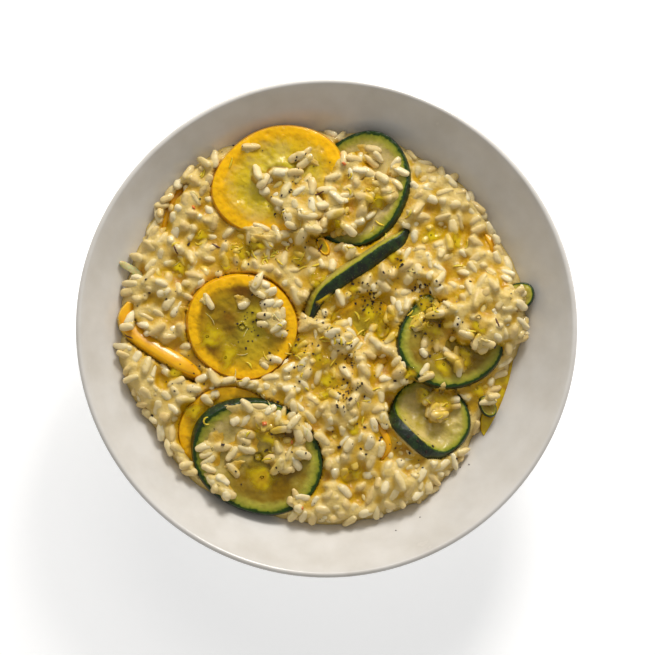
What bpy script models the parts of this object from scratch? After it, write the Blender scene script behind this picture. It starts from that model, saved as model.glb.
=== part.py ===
"""Squash and zucchini risotto in its shallow pasta bowl.

Metres, +Z up. The origin is the middle of the bowl's foot, on the surface it stands on.
The rice is one heap that fills the bowl. Slices of yellow squash and green zucchini lie on it
and in it, and each slice has its own recess in the rice.
"""
import math
import random

import bmesh
import bpy
import numpy as np
from mathutils import Matrix, Vector
from mathutils.bvhtree import BVHTree

MM = 0.001
GAP = 0.35 * MM  # room between pieces that touch

# ---- Bowl ---------------------------------------------------------------------------------
BOWL_RADIUS = 108.0 * MM
BOWL_HEIGHT = 53.0 * MM
LIP_RADIUS = 1.35 * MM
FLOOR_TOP = 7.0 * MM  # height of the inside at the centre
WALL_STEEPNESS = 3.0  # power of the curve that the inside follows
RIM_SLOPE = math.radians(52.0)
WALL_AT_RIM = 2.7 * MM
WALL_AT_FOOT = 4.3 * MM
FOOT_OUTER = 47.5 * MM
FOOT_INNER = 42.5 * MM
FOOT_EDGE = 0.8 * MM
BOWL_STEPS = 60
HEAP_STEPS = 48

# ---- Heap of rice -------------------------------------------------------------------------
# Distance from the bowl's axis to the heap's edge on the wall, every 15 degrees from +X.
HEAP_EDGE = tuple(radius * MM for radius in (
    88.5, 87.5, 86.0, 88.0, 87.0, 89.0, 87.5, 90.5, 92.0, 93.0, 90.5, 90.0,
    90.5, 91.0, 86.5, 88.5, 87.0, 84.5, 85.5, 85.0, 85.5, 82.0, 78.5, 79.5))
CROWN = 37.6 * MM  # height of the rice at the middle
BROW = 4.6 * MM  # height of the heap's rounded shoulder over its edge
SHOULDER_FROM = 0.9  # share of the edge's distance where the shoulder starts
HEAP_RINGS_TOP = (0.14, 0.28, 0.41, 0.53, 0.64, 0.74, 0.82, 0.89, 0.94, 0.98)
HEAP_RINGS_BELOW = (0.38, 0.62, 0.8, 0.92)
# Mounds and hollows in the rice: middle x, y, reach, and height in millimetres.
MOUNDS = (
    (70.0, 10.0, 13.0, 4.6), (48.0, 24.0, 12.0, 1.6), (-70.0, 24.0, 12.0, 1.6),
    (19.0, 4.0, 12.0, -3.0), (62.0, -37.0, 9.0, -2.4), (21.0, 57.0, 8.0, -1.5),
    (52.0, 39.0, 8.0, -1.6), (-5.0, -16.0, 8.0, -1.8), (12.0, -63.0, 9.0, -1.6),
    (2.0, 36.0, 8.0, -1.2), (-50.0, 27.0, 8.0, -1.0), (32.0, -66.0, 10.0, 1.4),
    (9.0, -34.0, 11.0, 1.6), (-67.0, -33.0, 11.0, 1.2), (-10.0, 37.0, 9.0, 1.2))
RIPPLES = ((17.0, 0.4, 0.55), (13.0, 2.1, 0.5), (22.0, 4.4, 0.6))  # length, turn, height in mm
GRAIN_LENGTHS = (11.0 * MM, 7.6 * MM)  # longest first
GRAIN_WIDTHS = (4.3 * MM, 3.5 * MM)
GRAINS_ON_TOP = 78
GRAINS_AT_EDGE = 26
GRAIN_SPACING = 9.3 * MM
SEED = 11
FLAT_WITHIN = math.radians(3.0)  # faces of the joined rice that meet flatter than this are one

# ---- Slices -------------------------------------------------------------------------------
# at: middle of the top face. size: half its length and half its width. spin: turn of its
# length from +X. lean: slope of the face, which rises towards the direction "up". curl: the
# part past curl_from, measured towards curl_to, rolls up on this radius. cone: how much wider
# the cut face below is. open: nothing lies on the slice. Millimetres and degrees.
SLICES = {
    "yellow_slice_1": dict(at=(-21.1, 64.9, 42.4), size=(29.5, 23.2), spin=19, lean=2.0, up=100,
                           thick=5.2, cone=1.0, sides=22, open=True),
    "yellow_slice_2": dict(at=(-36.8, 0.6, 39.8), size=(24.1, 22.6), spin=-19, lean=7.0, up=135,
                           thick=6.0, cone=1.0, sides=22, open=True),
    "yellow_slice_3": dict(at=(-43.4, -44.2, 34.6), size=(21.4, 18.4), spin=15, lean=12.0, up=125,
                           thick=4.6, cone=0.0, sides=20, open=True),
    "yellow_slice_6": dict(at=(-1.6, 36.2, 38.4), size=(4.4, 2.3), spin=-62, lean=8.0, up=0,
                           thick=2.6, cone=0.0, sides=10, open=True),
    "yellow_slice_7": dict(at=(16.8, -2.0, 35.4), size=(16.2, 15.8), spin=0, lean=3.0, up=180,
                           thick=4.6, cone=0.5, sides=18, open=False),
    "green_slice_1": dict(at=(-29.8, -56.3, 38.4), size=(28.8, 23.9), spin=-22, lean=3.5, up=125,
                          thick=5.0, cone=0.5, sides=22, open=True,
                          curl=24.0, curl_from=14.0, curl_to=125),
    "green_slice_2": dict(at=(13.7, 61.8, 37.4), size=(26.6, 21.6), spin=60, lean=9.5, up=30,
                          thick=4.2, cone=0.0, sides=22, open=True,
                          curl=28.0, curl_from=8.0, curl_to=-35),
    "green_slice_4": dict(at=(54.9, -4.3, 38.6), size=(23.9, 21.6), spin=25, lean=5.0, up=205,
                          thick=5.0, cone=0.5, sides=22, open=False),
    "green_slice_5": dict(at=(45.4, -38.8, 33.0), size=(16.4, 18.0), spin=45, lean=7.0, up=-45,
                          thick=5.4, cone=0.0, sides=20, open=False,
                          curl=10.5, curl_from=0.0, curl_to=225),
    "green_slice_6": dict(at=(83.6, 13.6, 39.4), size=(7.4, 6.0), spin=30, lean=13.0, up=10,
                          thick=3.0, cone=0.0, sides=12, open=False),
    "green_slice_7": dict(at=(70.6, -34.0, 34.8), size=(5.0, 3.4), spin=-60, lean=6.0, up=200,
                          thick=3.0, cone=0.0, sides=10, open=True),
}
# Rings of a slice's upper face: share of its radius, and depth in millimetres. The seeds sit
# in the sunken middle.
FACE_RINGS = ((0.52, 0.5), (0.7, 0.05))
BELOW_RING = 0.6  # share of the radius where a curled slice has one more ring below
SMALL_FACE = 6.0 * MM  # a slice no larger than this has a plain face
EDGE_ROUND = 0.7 * MM

# Slices that stand on edge in the rice, so that a strip of rim shows: points along the middle
# of the rim, how wide the rim is, how deep the strip reaches at its two ends, and how far it
# leans to the right-hand side of the route. Millimetres and degrees.
STRIPS = {
    "yellow_slice_4": dict(route=((-85.5, 11.0, 39.6), (-87.0, 5.0, 40.4), (-84.0, -1.2, 40.4),
                                  (-74.0, -8.6, 40.8), (-63.0, -15.2, 40.2), (-54.6, -20.0, 37.6)),
                           wide=6.0, deep=(2.6, 8.6), lean=-22),
    "yellow_slice_5": dict(route=((-61.2, 63.6, 36.6), (-66.6, 58.2, 38.2), (-70.0, 51.4, 38.0),
                                  (-72.4, 41.6, 36.0)),
                           wide=2.8, deep=(1.8, 3.2), lean=0),
    "yellow_slice_8": dict(route=((69.6, 42.4, 35.4), (72.4, 37.8, 37.0), (73.4, 33.2, 35.4)),
                           wide=2.4, deep=(3.0, 3.0), lean=0),
    "yellow_slice_9": dict(route=((21.0, -40.6, 37.6), (25.2, -46.4, 38.4), (27.0, -52.4, 38.4),
                                  (23.6, -57.6, 36.6)),
                           wide=2.6, deep=(4.0, 4.0), lean=0),
    "green_slice_3": dict(route=((36.2, 43.6, 37.6), (32.6, 38.0, 40.6), (25.7, 33.2, 41.8),
                                 (16.9, 27.0, 42.2), (8.1, 21.2, 42.0), (-1.6, 13.4, 40.8),
                                 (-6.2, 4.4, 37.4)),
                          wide=6.2, deep=(3.0, 7.0), lean=-36),
    "onion_sliver": dict(route=((-90.4, 28.6, 41.8), (-86.0, 26.2, 39.6), (-80.4, 23.0, 37.6)),
                         wide=3.0, deep=(1.4, 2.2), lean=0),
}

# Rice that lies on a slice: which slice, middle on its face from the slice's own middle,
# half length, half width and turn of the patch, its height, and how many grains stand out.
CLUMPS = {
    "rice_on_yellow_1": dict(on="yellow_slice_1", at=(5.5, -5.5), size=(15.0, 10.0), turn=-25,
                             high=1.6, grains=7),
    "rice_on_yellow_2": dict(on="yellow_slice_2", at=(13.8, 3.4), size=(10.0, 4.8), turn=95,
                             high=1.5, grains=4),
    "rice_on_green_1": dict(on="green_slice_1", at=(12.6, 1.0), size=(9.4, 7.6), turn=40,
                            high=2.8, grains=5),
    "rice_on_green_2": dict(on="green_slice_2", at=(2.6, -3.0), size=(12.0, 6.6), turn=76,
                            high=1.7, grains=5),
    "rice_at_green_1": dict(on="green_slice_1", at=(-17.0, -12.2), size=(7.6, 3.4), turn=-42,
                            high=1.6, grains=3),
}

# ---- Oil ----------------------------------------------------------------------------------
OIL_LEVEL = 29.7 * MM
OIL_FROM, OIL_TO = -8.0, -34.0  # directions between which the oil shows, in degrees
OIL_INNER = 76.4 * MM
OIL_STATIONS = 9
OIL_GAP = 2.0 * GAP  # room over the wall, which curves between the stations


def clear_scene():
    """Remove the objects that a new file starts with."""
    for thing in list(bpy.data.objects):
        bpy.data.objects.remove(thing, do_unlink=True)


def collection(name):
    """Make a collection in the scene."""
    made = bpy.data.collections.new(name)
    bpy.context.scene.collection.children.link(made)
    return made


def add_mesh(name, points, faces, home):
    """Make an object of points and faces, with its faces pointing out."""
    mesh = bpy.data.meshes.new(name)
    mesh.from_pydata([tuple(point) for point in points], [], faces)
    shape = bmesh.new()
    shape.from_mesh(mesh)
    bmesh.ops.recalc_face_normals(shape, faces=shape.faces)
    bmesh.ops.triangulate(shape, faces=shape.faces)
    shape.to_mesh(mesh)
    shape.free()
    made = bpy.data.objects.new(name, mesh)
    home.objects.link(made)
    return made


def finish(name, color, roughness):
    """Make a plain material."""
    made = bpy.data.materials.new(name)
    made.use_nodes = True
    shader = made.node_tree.nodes["Principled BSDF"]
    shader.inputs["Base Color"].default_value = (*color, 1.0)
    shader.inputs["Roughness"].default_value = roughness
    shader.inputs["Metallic"].default_value = 0.0
    return made


def smooth(made, angle=50.0):
    """Shade smooth, with sharp edges kept."""
    made.data.shade_smooth()
    made.data.set_sharp_from_angle(angle=math.radians(angle))


def bridge(lower, upper):
    """Triangles between two closed rings of point numbers, all split the same way."""
    faces = []
    for k in range(len(lower)):
        following = (k + 1) % len(lower)
        faces.append((lower[k], lower[following], upper[following]))
        faces.append((lower[k], upper[following], upper[k]))
    return faces


def fan(middle, ring):
    """Faces from one point to a closed ring."""
    count = len(ring)
    return [(middle, ring[k], ring[(k + 1) % count]) for k in range(count)]


# ---- Bowl ---------------------------------------------------------------------------------
LIP_X = BOWL_RADIUS - LIP_RADIUS
LIP_Z = BOWL_HEIGHT - LIP_RADIUS
INSIDE_END = LIP_X - LIP_RADIUS * math.sin(RIM_SLOPE)
INSIDE_TOP = LIP_Z + LIP_RADIUS * math.cos(RIM_SLOPE)


def bowl_inside(distance):
    """Height of the bowl's inside at a distance from its axis."""
    return FLOOR_TOP + (INSIDE_TOP - FLOOR_TOP) * (distance / INSIDE_END) ** WALL_STEEPNESS


def bowl_slope(distance):
    """Slope of the inside there, in radians."""
    step = 0.1 * MM
    return math.atan2(bowl_inside(distance + step) - bowl_inside(distance), step)


def bowl_outside(distance):
    """Point of the outside that backs a point of the inside."""
    share = distance / INSIDE_END
    wall = WALL_AT_FOOT + (WALL_AT_RIM - WALL_AT_FOOT) * share
    slope = bowl_slope(distance)
    return (distance + wall * math.sin(slope), bowl_inside(distance) - wall * math.cos(slope))


def make_bowl(home):
    """Turn the bowl: the profile runs up the inside, over the lip and down the outside."""
    inside = [INSIDE_END * share ** 0.75 for share in np.linspace(0.0, 1.0, 8)]
    profile = [(distance, bowl_inside(distance)) for distance in inside]
    lip_start = math.radians(90.0) + RIM_SLOPE
    for share in (0.33, 0.66, 1.0):
        angle = lip_start - math.radians(180.0) * share
        profile.append((LIP_X + LIP_RADIUS * math.cos(angle), LIP_Z + LIP_RADIUS * math.sin(angle)))
    profile += [bowl_outside(distance) for distance in inside[6:3:-1]]
    foot_top = bowl_outside(FOOT_OUTER - WALL_AT_FOOT / 2)
    profile.append((FOOT_OUTER + FOOT_EDGE, foot_top[1]))
    profile.append((FOOT_OUTER, FOOT_EDGE))
    profile.append((FOOT_OUTER - FOOT_EDGE, 0.0))
    profile.append((FOOT_INNER, 0.0))
    profile.append((FOOT_INNER - FOOT_EDGE, bowl_inside(FOOT_INNER) - WALL_AT_FOOT))
    profile.append((0.0, FLOOR_TOP - WALL_AT_FOOT))
    mesh = bpy.data.meshes.new("bowl")
    mesh.from_pydata([(x, 0.0, z) for x, z in profile],
                     [(k, k + 1) for k in range(len(profile) - 1)], [])
    bowl = bpy.data.objects.new("bowl", mesh)
    home.objects.link(bowl)
    turn = bowl.modifiers.new("turned", "SCREW")
    turn.steps = BOWL_STEPS
    turn.render_steps = BOWL_STEPS
    turn.use_merge_vertices = True
    turn.merge_threshold = 0.00001
    turn.use_smooth_shade = True
    bowl.data.materials.append(finish("glazed_stoneware", (0.78, 0.75, 0.70), 0.22))
    return bowl


# ---- Slices -------------------------------------------------------------------------------
def on_slice(spec, point):
    """Carry a point from a slice's own flat frame to its place in the bowl."""
    x, y, z = point
    if "curl" in spec:
        across = math.radians(spec["curl_to"] - spec["spin"])
        cos, sin = math.cos(across), math.sin(across)
        towards = x * cos + y * sin - spec["curl_from"] * MM
        beside = -x * sin + y * cos
        if towards > 0.0:
            radius = spec["curl"] * MM
            turned = towards / radius
            towards = (radius - z) * math.sin(turned)
            z = radius - (radius - z) * math.cos(turned)
        towards += spec["curl_from"] * MM
        x, y = towards * cos - beside * sin, towards * sin + beside * cos
    spin = Matrix.Rotation(math.radians(spec["spin"]), 3, "Z")
    up = math.radians(spec["up"])
    lean = Matrix.Rotation(math.radians(spec["lean"]), 3, Vector((math.sin(up), -math.cos(up), 0)))
    return lean @ spin @ Vector((x, y, z)) + Vector(spec["at"]) * MM


def make_slice(name, spec, home, grow=0.0):
    """A round of squash or zucchini. With grow, its recess in the rice."""
    long, wide = (half * MM for half in spec["size"])
    thick, cone = spec["thick"] * MM, spec["cone"] * MM
    cleared = 9.0 * MM if grow and spec["open"] else 0.0
    rings = []
    if not grow and long > SMALL_FACE:
        rings += [(share, 0.0, -depth * MM) for share, depth in FACE_RINGS]
    if grow and "curl" not in spec:
        rings.append((1.0, grow, grow + cleared))
        rings.append((1.0, grow + cone, -thick - grow))
    else:
        rings.append((1.0, grow - EDGE_ROUND / 2, grow + cleared))
        rings.append((1.0, grow, grow - EDGE_ROUND))
        rings.append((1.0, grow + cone, EDGE_ROUND - thick))
        rings.append((1.0, grow + cone - 1.6 * EDGE_ROUND, -thick - grow))
    if "curl" in spec:
        rings.append((BELOW_RING, 0.0, -thick - 2.0 * grow))
    points, faces, last = [], [], None
    points.append(on_slice(spec, (0.0, 0.0, rings[0][2])))
    for share, out, z in rings:
        ring = []
        for k in range(spec["sides"]):
            angle = 2.0 * math.pi * k / spec["sides"]
            wave = 1.0 + 0.012 * math.sin(3.0 * angle + long / MM) + 0.008 * math.sin(5.0 * angle)
            x = (long * share * wave + out) * math.cos(angle)
            y = (wide * share * wave + out) * math.sin(angle)
            ring.append(len(points))
            points.append(on_slice(spec, (x, y, z)))
        faces += fan(0, ring) if last is None else bridge(last, ring)
        last = ring
    points.append(on_slice(spec, (0.0, 0.0, -thick - 2.0 * grow)))
    faces += fan(len(points) - 1, last)
    return add_mesh(name, points, faces, home)


def through(points, count):
    """A smooth run of points through a few given ones."""
    given = [Vector(points[0]) * 2 - Vector(points[1])] + [Vector(p) for p in points]
    given.append(given[-1] * 2 - given[-2])
    spans = len(points) - 1
    run = []
    for k in range(count):
        place = spans * k / (count - 1)
        span = min(int(place), spans - 1)
        t = place - span
        a, b, c, d = given[span:span + 4]
        run.append(0.5 * (2 * b + (c - a) * t + (2 * a - 5 * b + 4 * c - d) * t ** 2
                          + (3 * b - a - 3 * c + d) * t ** 3))
    return run


def make_strip(name, spec, home, grow=0.0):
    """A slice that stands on edge: its rim above, its two cut faces going down into the rice."""
    count = 2 * len(spec["route"]) - 1
    route = [point * MM for point in through(spec["route"], count)]
    half = spec["wide"] * MM / 2 + grow
    lean = math.radians(spec["lean"])
    points, faces, last = [], [], None
    for k, middle in enumerate(route):
        share = k / (count - 1)
        ahead = route[min(k + 1, count - 1)] - route[max(k - 1, 0)]
        ahead.z = 0.0
        ahead.normalize()
        right = Vector((ahead.y, -ahead.x, 0.0))
        side = right * math.cos(lean) - Vector((0, 0, math.sin(lean)))
        down = -right * math.sin(lean) - Vector((0, 0, math.cos(lean)))
        deep = (spec["deep"][0] + (spec["deep"][1] - spec["deep"][0]) * share) * MM
        end = min(1.0, 0.45 + 2.6 * min(share, 1.0 - share))
        out = half * end
        middle = middle + ahead * grow * ((k == count - 1) - (k == 0))
        section = ((-out, deep + grow), (-out, 0.18 * deep - grow), (-0.6 * out, -grow),
                   (0.6 * out, -grow), (out, 0.18 * deep - grow), (out, deep + grow))
        ring = []
        for across, below in section:
            ring.append(len(points))
            points.append(middle + side * across + down * below)
        faces += [tuple(ring)] if last is None else bridge(last, ring)
        last = ring
    faces.append(tuple(reversed(last)))
    return add_mesh(name, points, faces, home)


# ---- Oil ----------------------------------------------------------------------------------
def make_oil(home, grow=0.0):
    """Oil that lies level between the rice and the wall."""
    level = OIL_LEVEL + grow
    outer = next(k * 0.1 * MM for k in range(700, 1000)
                 if bowl_inside(k * 0.1 * MM) + OIL_GAP > OIL_LEVEL) + grow
    points, faces, last = [], [], None
    for k in range(OIL_STATIONS):
        share = k / (OIL_STATIONS - 1)
        angle = math.radians(OIL_FROM + (OIL_TO - OIL_FROM) * share)
        angle += (0.5 - share) * 4.0 * grow / OIL_INNER
        reach = math.sqrt(max(0.06, 1.0 - (2.0 * share - 1.0) ** 2))
        inner = outer - (outer - OIL_INNER + grow) * reach
        middle = (inner + outer) / 2
        section = ((inner, bowl_inside(inner) + OIL_GAP - grow),
                   (middle, bowl_inside(middle) + OIL_GAP - grow),
                   (outer, level - 0.1 * MM), (outer - 0.3 * MM, level), (inner, level))
        ring = []
        for distance, z in section:
            ring.append(len(points))
            points.append((distance * math.cos(angle), distance * math.sin(angle), z))
        faces += [tuple(ring)] if last is None else bridge(last, ring)
        last = ring
    faces.append(tuple(reversed(last)))
    return add_mesh("oil_puddle", points, faces, home)


# ---- Heap ---------------------------------------------------------------------------------
def heap_edge(angle):
    """Distance from the axis to the heap's edge in a direction."""
    steps = np.arange(len(HEAP_EDGE)) * 15.0
    return float(np.interp(math.degrees(angle) % 360.0, steps, HEAP_EDGE, period=360.0))


def heap_top(x, y):
    """Height of the rice, without its grains."""
    distance = math.hypot(x, y)
    edge = heap_edge(math.atan2(y, x))
    share = min(distance / edge, 1.0)
    contact = bowl_inside(edge) + 1.4 * GAP
    level = CROWN + (contact + BROW - CROWN) * share ** 4
    for across, along, reach, high in MOUNDS:
        apart = ((x / MM - across) ** 2 + (y / MM - along) ** 2) / reach ** 2
        level += high * MM * math.exp(-apart)
    for length, turn, high in RIPPLES:
        along = x / MM * math.cos(turn) + y / MM * math.sin(turn)
        across = y / MM * math.cos(turn) - x / MM * math.sin(turn)
        wave = math.sin(2 * math.pi * along / length + 1.3 * math.sin(across / 11.0))
        level += 0.5 * high * MM * wave
    if share > SHOULDER_FROM:
        fall = (share - SHOULDER_FROM) / (1.0 - SHOULDER_FROM)
        level = contact + (level - contact) * math.sqrt(max(0.0, 1.0 - fall ** 2))
    return level


def make_core(home):
    """The body of the rice, from the bowl's inside up to its uneven top."""
    points = [(0.0, 0.0, heap_top(0.0, 0.0))]
    faces, last = [], None
    rows = [(share, True) for share in HEAP_RINGS_TOP] + [(1.0, False)]
    rows += [(share, False) for share in reversed(HEAP_RINGS_BELOW)]
    for share, upper in rows:
        ring = []
        for k in range(HEAP_STEPS):
            angle = 2.0 * math.pi * k / HEAP_STEPS
            distance = share * heap_edge(angle)
            x, y = distance * math.cos(angle), distance * math.sin(angle)
            z = heap_top(x, y) if upper else bowl_inside(distance) + 1.4 * GAP
            ring.append(len(points))
            points.append((x, y, z))
        faces += fan(0, ring) if last is None else bridge(last, ring)
        last = ring
    points.append((0.0, 0.0, FLOOR_TOP + 1.4 * GAP))
    faces += fan(len(points) - 1, last)
    return add_mesh("risotto", points, faces, home)


def grain_mesh(name, length, width, home):
    """One cooked grain: a six-sided body with blunt ends, along its own X axis."""
    shape = bmesh.new()
    bmesh.ops.create_uvsphere(shape, u_segments=6, v_segments=3, radius=1.0)
    for point in shape.verts:
        tip = abs(point.co.z) > 0.9
        along = math.copysign(0.5 if tip else 0.3, point.co.z) * length
        out = Vector((point.co.x, point.co.y)) * (0.0 if tip else width / 2 / math.cos(math.pi / 6))
        point.co = Vector((along, out.x, out.y))
    bmesh.ops.recalc_face_normals(shape, faces=shape.faces)
    mesh = bpy.data.meshes.new(name)
    shape.to_mesh(mesh)
    shape.free()
    made = bpy.data.objects.new(name, mesh)
    home.objects.link(made)
    return made


def lie(made, place, along, up):
    """Lay a grain at a place, its length along one direction and its top towards another."""
    along = along.normalized()
    beside = up.cross(along).normalized()
    turn = Matrix((along, beside, along.cross(beside))).transposed().to_4x4()
    made.matrix_world = Matrix.Translation(place) @ turn


def surface(x, y):
    """A point of the rice's top and the direction that it faces."""
    step = 1.0 * MM
    rise_x = (heap_top(x + step, y) - heap_top(x - step, y)) / (2 * step)
    rise_y = (heap_top(x, y + step) - heap_top(x, y - step)) / (2 * step)
    facing = Vector((-max(-1.0, min(1.0, rise_x)), -max(-1.0, min(1.0, rise_y)), 1.0)).normalized()
    return Vector((x, y, heap_top(x, y))), facing


def clear_of(trees, ends, radius):
    """True where a grain between two ends keeps clear of every other piece."""
    for share in (0.0, 0.25, 0.5, 0.75, 1.0):
        point = ends[0].lerp(ends[1], share)
        for tree in trees:
            found = tree.find_nearest(point, radius + 1.6 * GAP)
            if found[0] is not None:
                return False
            above = tree.ray_cast(point, Vector((0, 0, 1)))
            below = tree.ray_cast(point, Vector((0, 0, -1)))
            if above[0] is not None and below[0] is not None:
                return False
            if above[0] is not None and above[3] < 12.0 * MM:
                return False
    return True


def clear_of_wall(ends, radius):
    """How far a grain has to rise to keep clear of the bowl."""
    need = 0.0
    for point in (ends[0], ends[0].lerp(ends[1], 0.5), ends[1]):
        distance = math.hypot(point.x, point.y)
        room = (radius + 1.6 * GAP) / math.cos(bowl_slope(distance))
        need = max(need, bowl_inside(distance) + room - point.z)
    return need


def scatter_grains(home, trees):
    """Spread grains over the rice and along its edge, the longest first."""
    draw = random.Random(SEED)
    placed = []
    wanted = GRAINS_ON_TOP + GRAINS_AT_EDGE
    for attempt in range(9000):
        if len(placed) >= wanted:
            break
        share = len(placed) / wanted
        length = GRAIN_LENGTHS[0] + (GRAIN_LENGTHS[1] - GRAIN_LENGTHS[0]) * share
        width = GRAIN_WIDTHS[0] + (GRAIN_WIDTHS[1] - GRAIN_WIDTHS[0]) * draw.random()
        angle = draw.uniform(0.0, 2.0 * math.pi)
        at_edge = len(placed) % (wanted // GRAINS_AT_EDGE) == 0
        reach = draw.uniform(0.95, 0.985) if at_edge else 0.95 * math.sqrt(draw.random())
        distance = reach * heap_edge(angle)
        place, facing = surface(distance * math.cos(angle), distance * math.sin(angle))
        if any((place - other).length < GRAIN_SPACING for other in placed):
            continue
        heading = draw.uniform(0.0, 2.0 * math.pi)
        along = Vector((math.cos(heading), math.sin(heading), draw.uniform(-0.25, 0.25)))
        along = (along - facing * along.dot(facing) * 0.8).normalized()
        middle = place + facing * width * draw.uniform(0.12, 0.3)
        ends = [middle + along * length * 0.38 * side for side in (-1, 1)]
        lift = clear_of_wall(ends, width / 2)
        if lift > (2.4 * MM if at_edge else 0.8 * MM):
            continue
        for point in (middle, *ends):
            point.z += lift
        if not clear_of(trees, ends, width / 2):
            continue
        grain = grain_mesh(f"grain_{len(placed)}", length, width, home)
        lie(grain, middle, along, facing)
        placed.append(place)


def keep_largest_body(mesh):
    """Drop loose scraps and sealed hollows, which are bodies of their own."""
    shape = bmesh.new()
    shape.from_mesh(mesh)
    bmesh.ops.remove_doubles(shape, verts=shape.verts, dist=0.002 * MM)
    bmesh.ops.dissolve_degenerate(shape, edges=shape.edges, dist=0.002 * MM)
    bmesh.ops.dissolve_limit(shape, angle_limit=FLAT_WITHIN, verts=shape.verts, edges=shape.edges)
    bmesh.ops.triangulate(shape, faces=shape.faces)
    left = set(shape.verts)
    bodies = []
    while left:
        start = left.pop()
        body, edge = {start}, [start]
        while edge:
            for link in edge.pop().link_edges:
                for point in link.verts:
                    if point in left:
                        left.remove(point)
                        body.add(point)
                        edge.append(point)
        bodies.append(body)
    bodies.sort(key=len)
    for body in bodies[:-1]:
        bmesh.ops.delete(shape, geom=list(body), context="VERTS")
    shape.to_mesh(mesh)
    shape.free()


def combine(target, operation, others, solver="EXACT"):
    """Cut from or join to an object a whole collection, then remove the collection's objects."""
    change = target.modifiers.new(operation.lower(), "BOOLEAN")
    change.operation = operation
    change.operand_type = "COLLECTION"
    change.collection = others
    change.solver = solver
    bpy.context.view_layer.update()
    changed = target.evaluated_get(bpy.context.evaluated_depsgraph_get())
    mesh = bpy.data.meshes.new_from_object(changed)
    target.modifiers.remove(change)
    target.data = mesh
    keep_largest_body(mesh)
    for thing in list(others.objects):
        bpy.data.objects.remove(thing, do_unlink=True)
    bpy.data.collections.remove(others)


def tree_of(made):
    """A search tree of an object's faces in the bowl's frame."""
    shape = bmesh.new()
    shape.from_mesh(made.data)
    shape.transform(made.matrix_world)
    tree = BVHTree.FromBMesh(shape)
    shape.free()
    return tree


def make_clump(name, spec, home):
    """Rice on a slice: a low patch with grains joined on, bent to the slice's own face."""
    draw = random.Random(name)
    below = SLICES[spec["on"]]
    turn = math.radians(spec["turn"])
    half_long, half_wide, high = spec["size"][0] * MM, spec["size"][1] * MM, spec["high"] * MM
    shape = bmesh.new()
    bmesh.ops.create_uvsphere(shape, u_segments=9, v_segments=4, radius=1.0)
    for point in shape.verts:
        x, y, z = point.co
        uneven = 1.0 + 0.12 * math.sin(3.0 * math.atan2(y, x) + spec["turn"])
        point.co = Vector((x * half_long * uneven, y * half_wide * uneven, max(z, -0.06) * high))
    shape.transform(Matrix.Translation((0, 0, GAP + 0.06 * high)))
    mesh = bpy.data.meshes.new(name)
    shape.to_mesh(mesh)
    shape.free()
    clump = bpy.data.objects.new(name, mesh)
    home.objects.link(clump)
    grains = collection(name + "_grains")
    for number in range(spec["grains"]):
        length, width = draw.uniform(7.6, 10.0) * MM, draw.uniform(3.4, 4.0) * MM
        around = 2.0 * math.pi * (number + draw.uniform(-0.2, 0.2)) / spec["grains"]
        share = draw.uniform(0.25, 0.85)
        x, y = half_long * share * math.cos(around), half_wide * share * math.sin(around)
        level = GAP + high * math.sqrt(max(0.0, 1.0 - share ** 2)) * 0.8
        heading = draw.uniform(0.0, math.pi)
        along = Vector((math.cos(heading), math.sin(heading), draw.uniform(-0.12, 0.12)))
        lowest = GAP + width / 2 / math.cos(math.pi / 6) + 0.3 * length * abs(along.z)
        grain = grain_mesh(f"{name}_{number}", length, width, grains)
        lie(grain, Vector((x, y, max(level, lowest))), along, Vector((0, 0, 1)))
    combine(clump, "UNION", grains)
    place = Vector((spec["at"][0], spec["at"][1], 0.0)) * MM
    for point in clump.data.vertices:
        flat = Matrix.Rotation(turn, 3, "Z") @ point.co + place
        back = Matrix.Rotation(-math.radians(below["spin"]), 3, "Z") @ flat
        point.co = on_slice(below, back)
    return clump


def build():
    """Make the bowl, what lies in the rice, and then the rice around it."""
    clear_scene()
    home = collection("squash_risotto")
    recesses = collection("recesses")
    make_bowl(home)
    toppings = []
    for name, spec in SLICES.items():
        toppings.append(make_slice(name, spec, home))
        make_slice(name + "_recess", spec, recesses, GAP)
    for name, spec in STRIPS.items():
        toppings.append(make_strip(name, spec, home))
        make_strip(name + "_recess", spec, recesses, GAP)
    toppings.append(make_oil(home))
    make_oil(recesses, GAP)
    clumps = [make_clump(name, spec, home) for name, spec in CLUMPS.items()]
    trees = [tree_of(piece) for piece in toppings + clumps]

    rice = make_core(home)
    combine(rice, "DIFFERENCE", recesses)
    grains = collection("grains")
    scatter_grains(grains, trees)
    combine(rice, "UNION", grains)

    squash = finish("yellow_squash", (0.85, 0.55, 0.06), 0.3)
    zucchini = finish("zucchini", (0.30, 0.36, 0.10), 0.3)
    cooked_rice = finish("cooked_rice", (0.84, 0.70, 0.42), 0.4)
    oil = finish("olive_oil", (0.55, 0.45, 0.02), 0.08)
    onion = finish("onion", (0.80, 0.78, 0.45), 0.35)
    kinds = {"yellow": squash, "green": zucchini, "rice": cooked_rice, "risotto": cooked_rice,
             "oil": oil, "onion": onion}
    for piece in toppings + clumps + [rice]:
        piece.data.materials.clear()
        piece.data.materials.append(kinds[piece.name.split("_")[0]])
        smooth(piece)


build()
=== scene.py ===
"""Looks of the squash and zucchini risotto in its pasta bowl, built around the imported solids."""
import math
from itertools import product

import bpy
import numpy as np
from mathutils import Matrix, Vector
from mathutils.bvhtree import BVHTree


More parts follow.
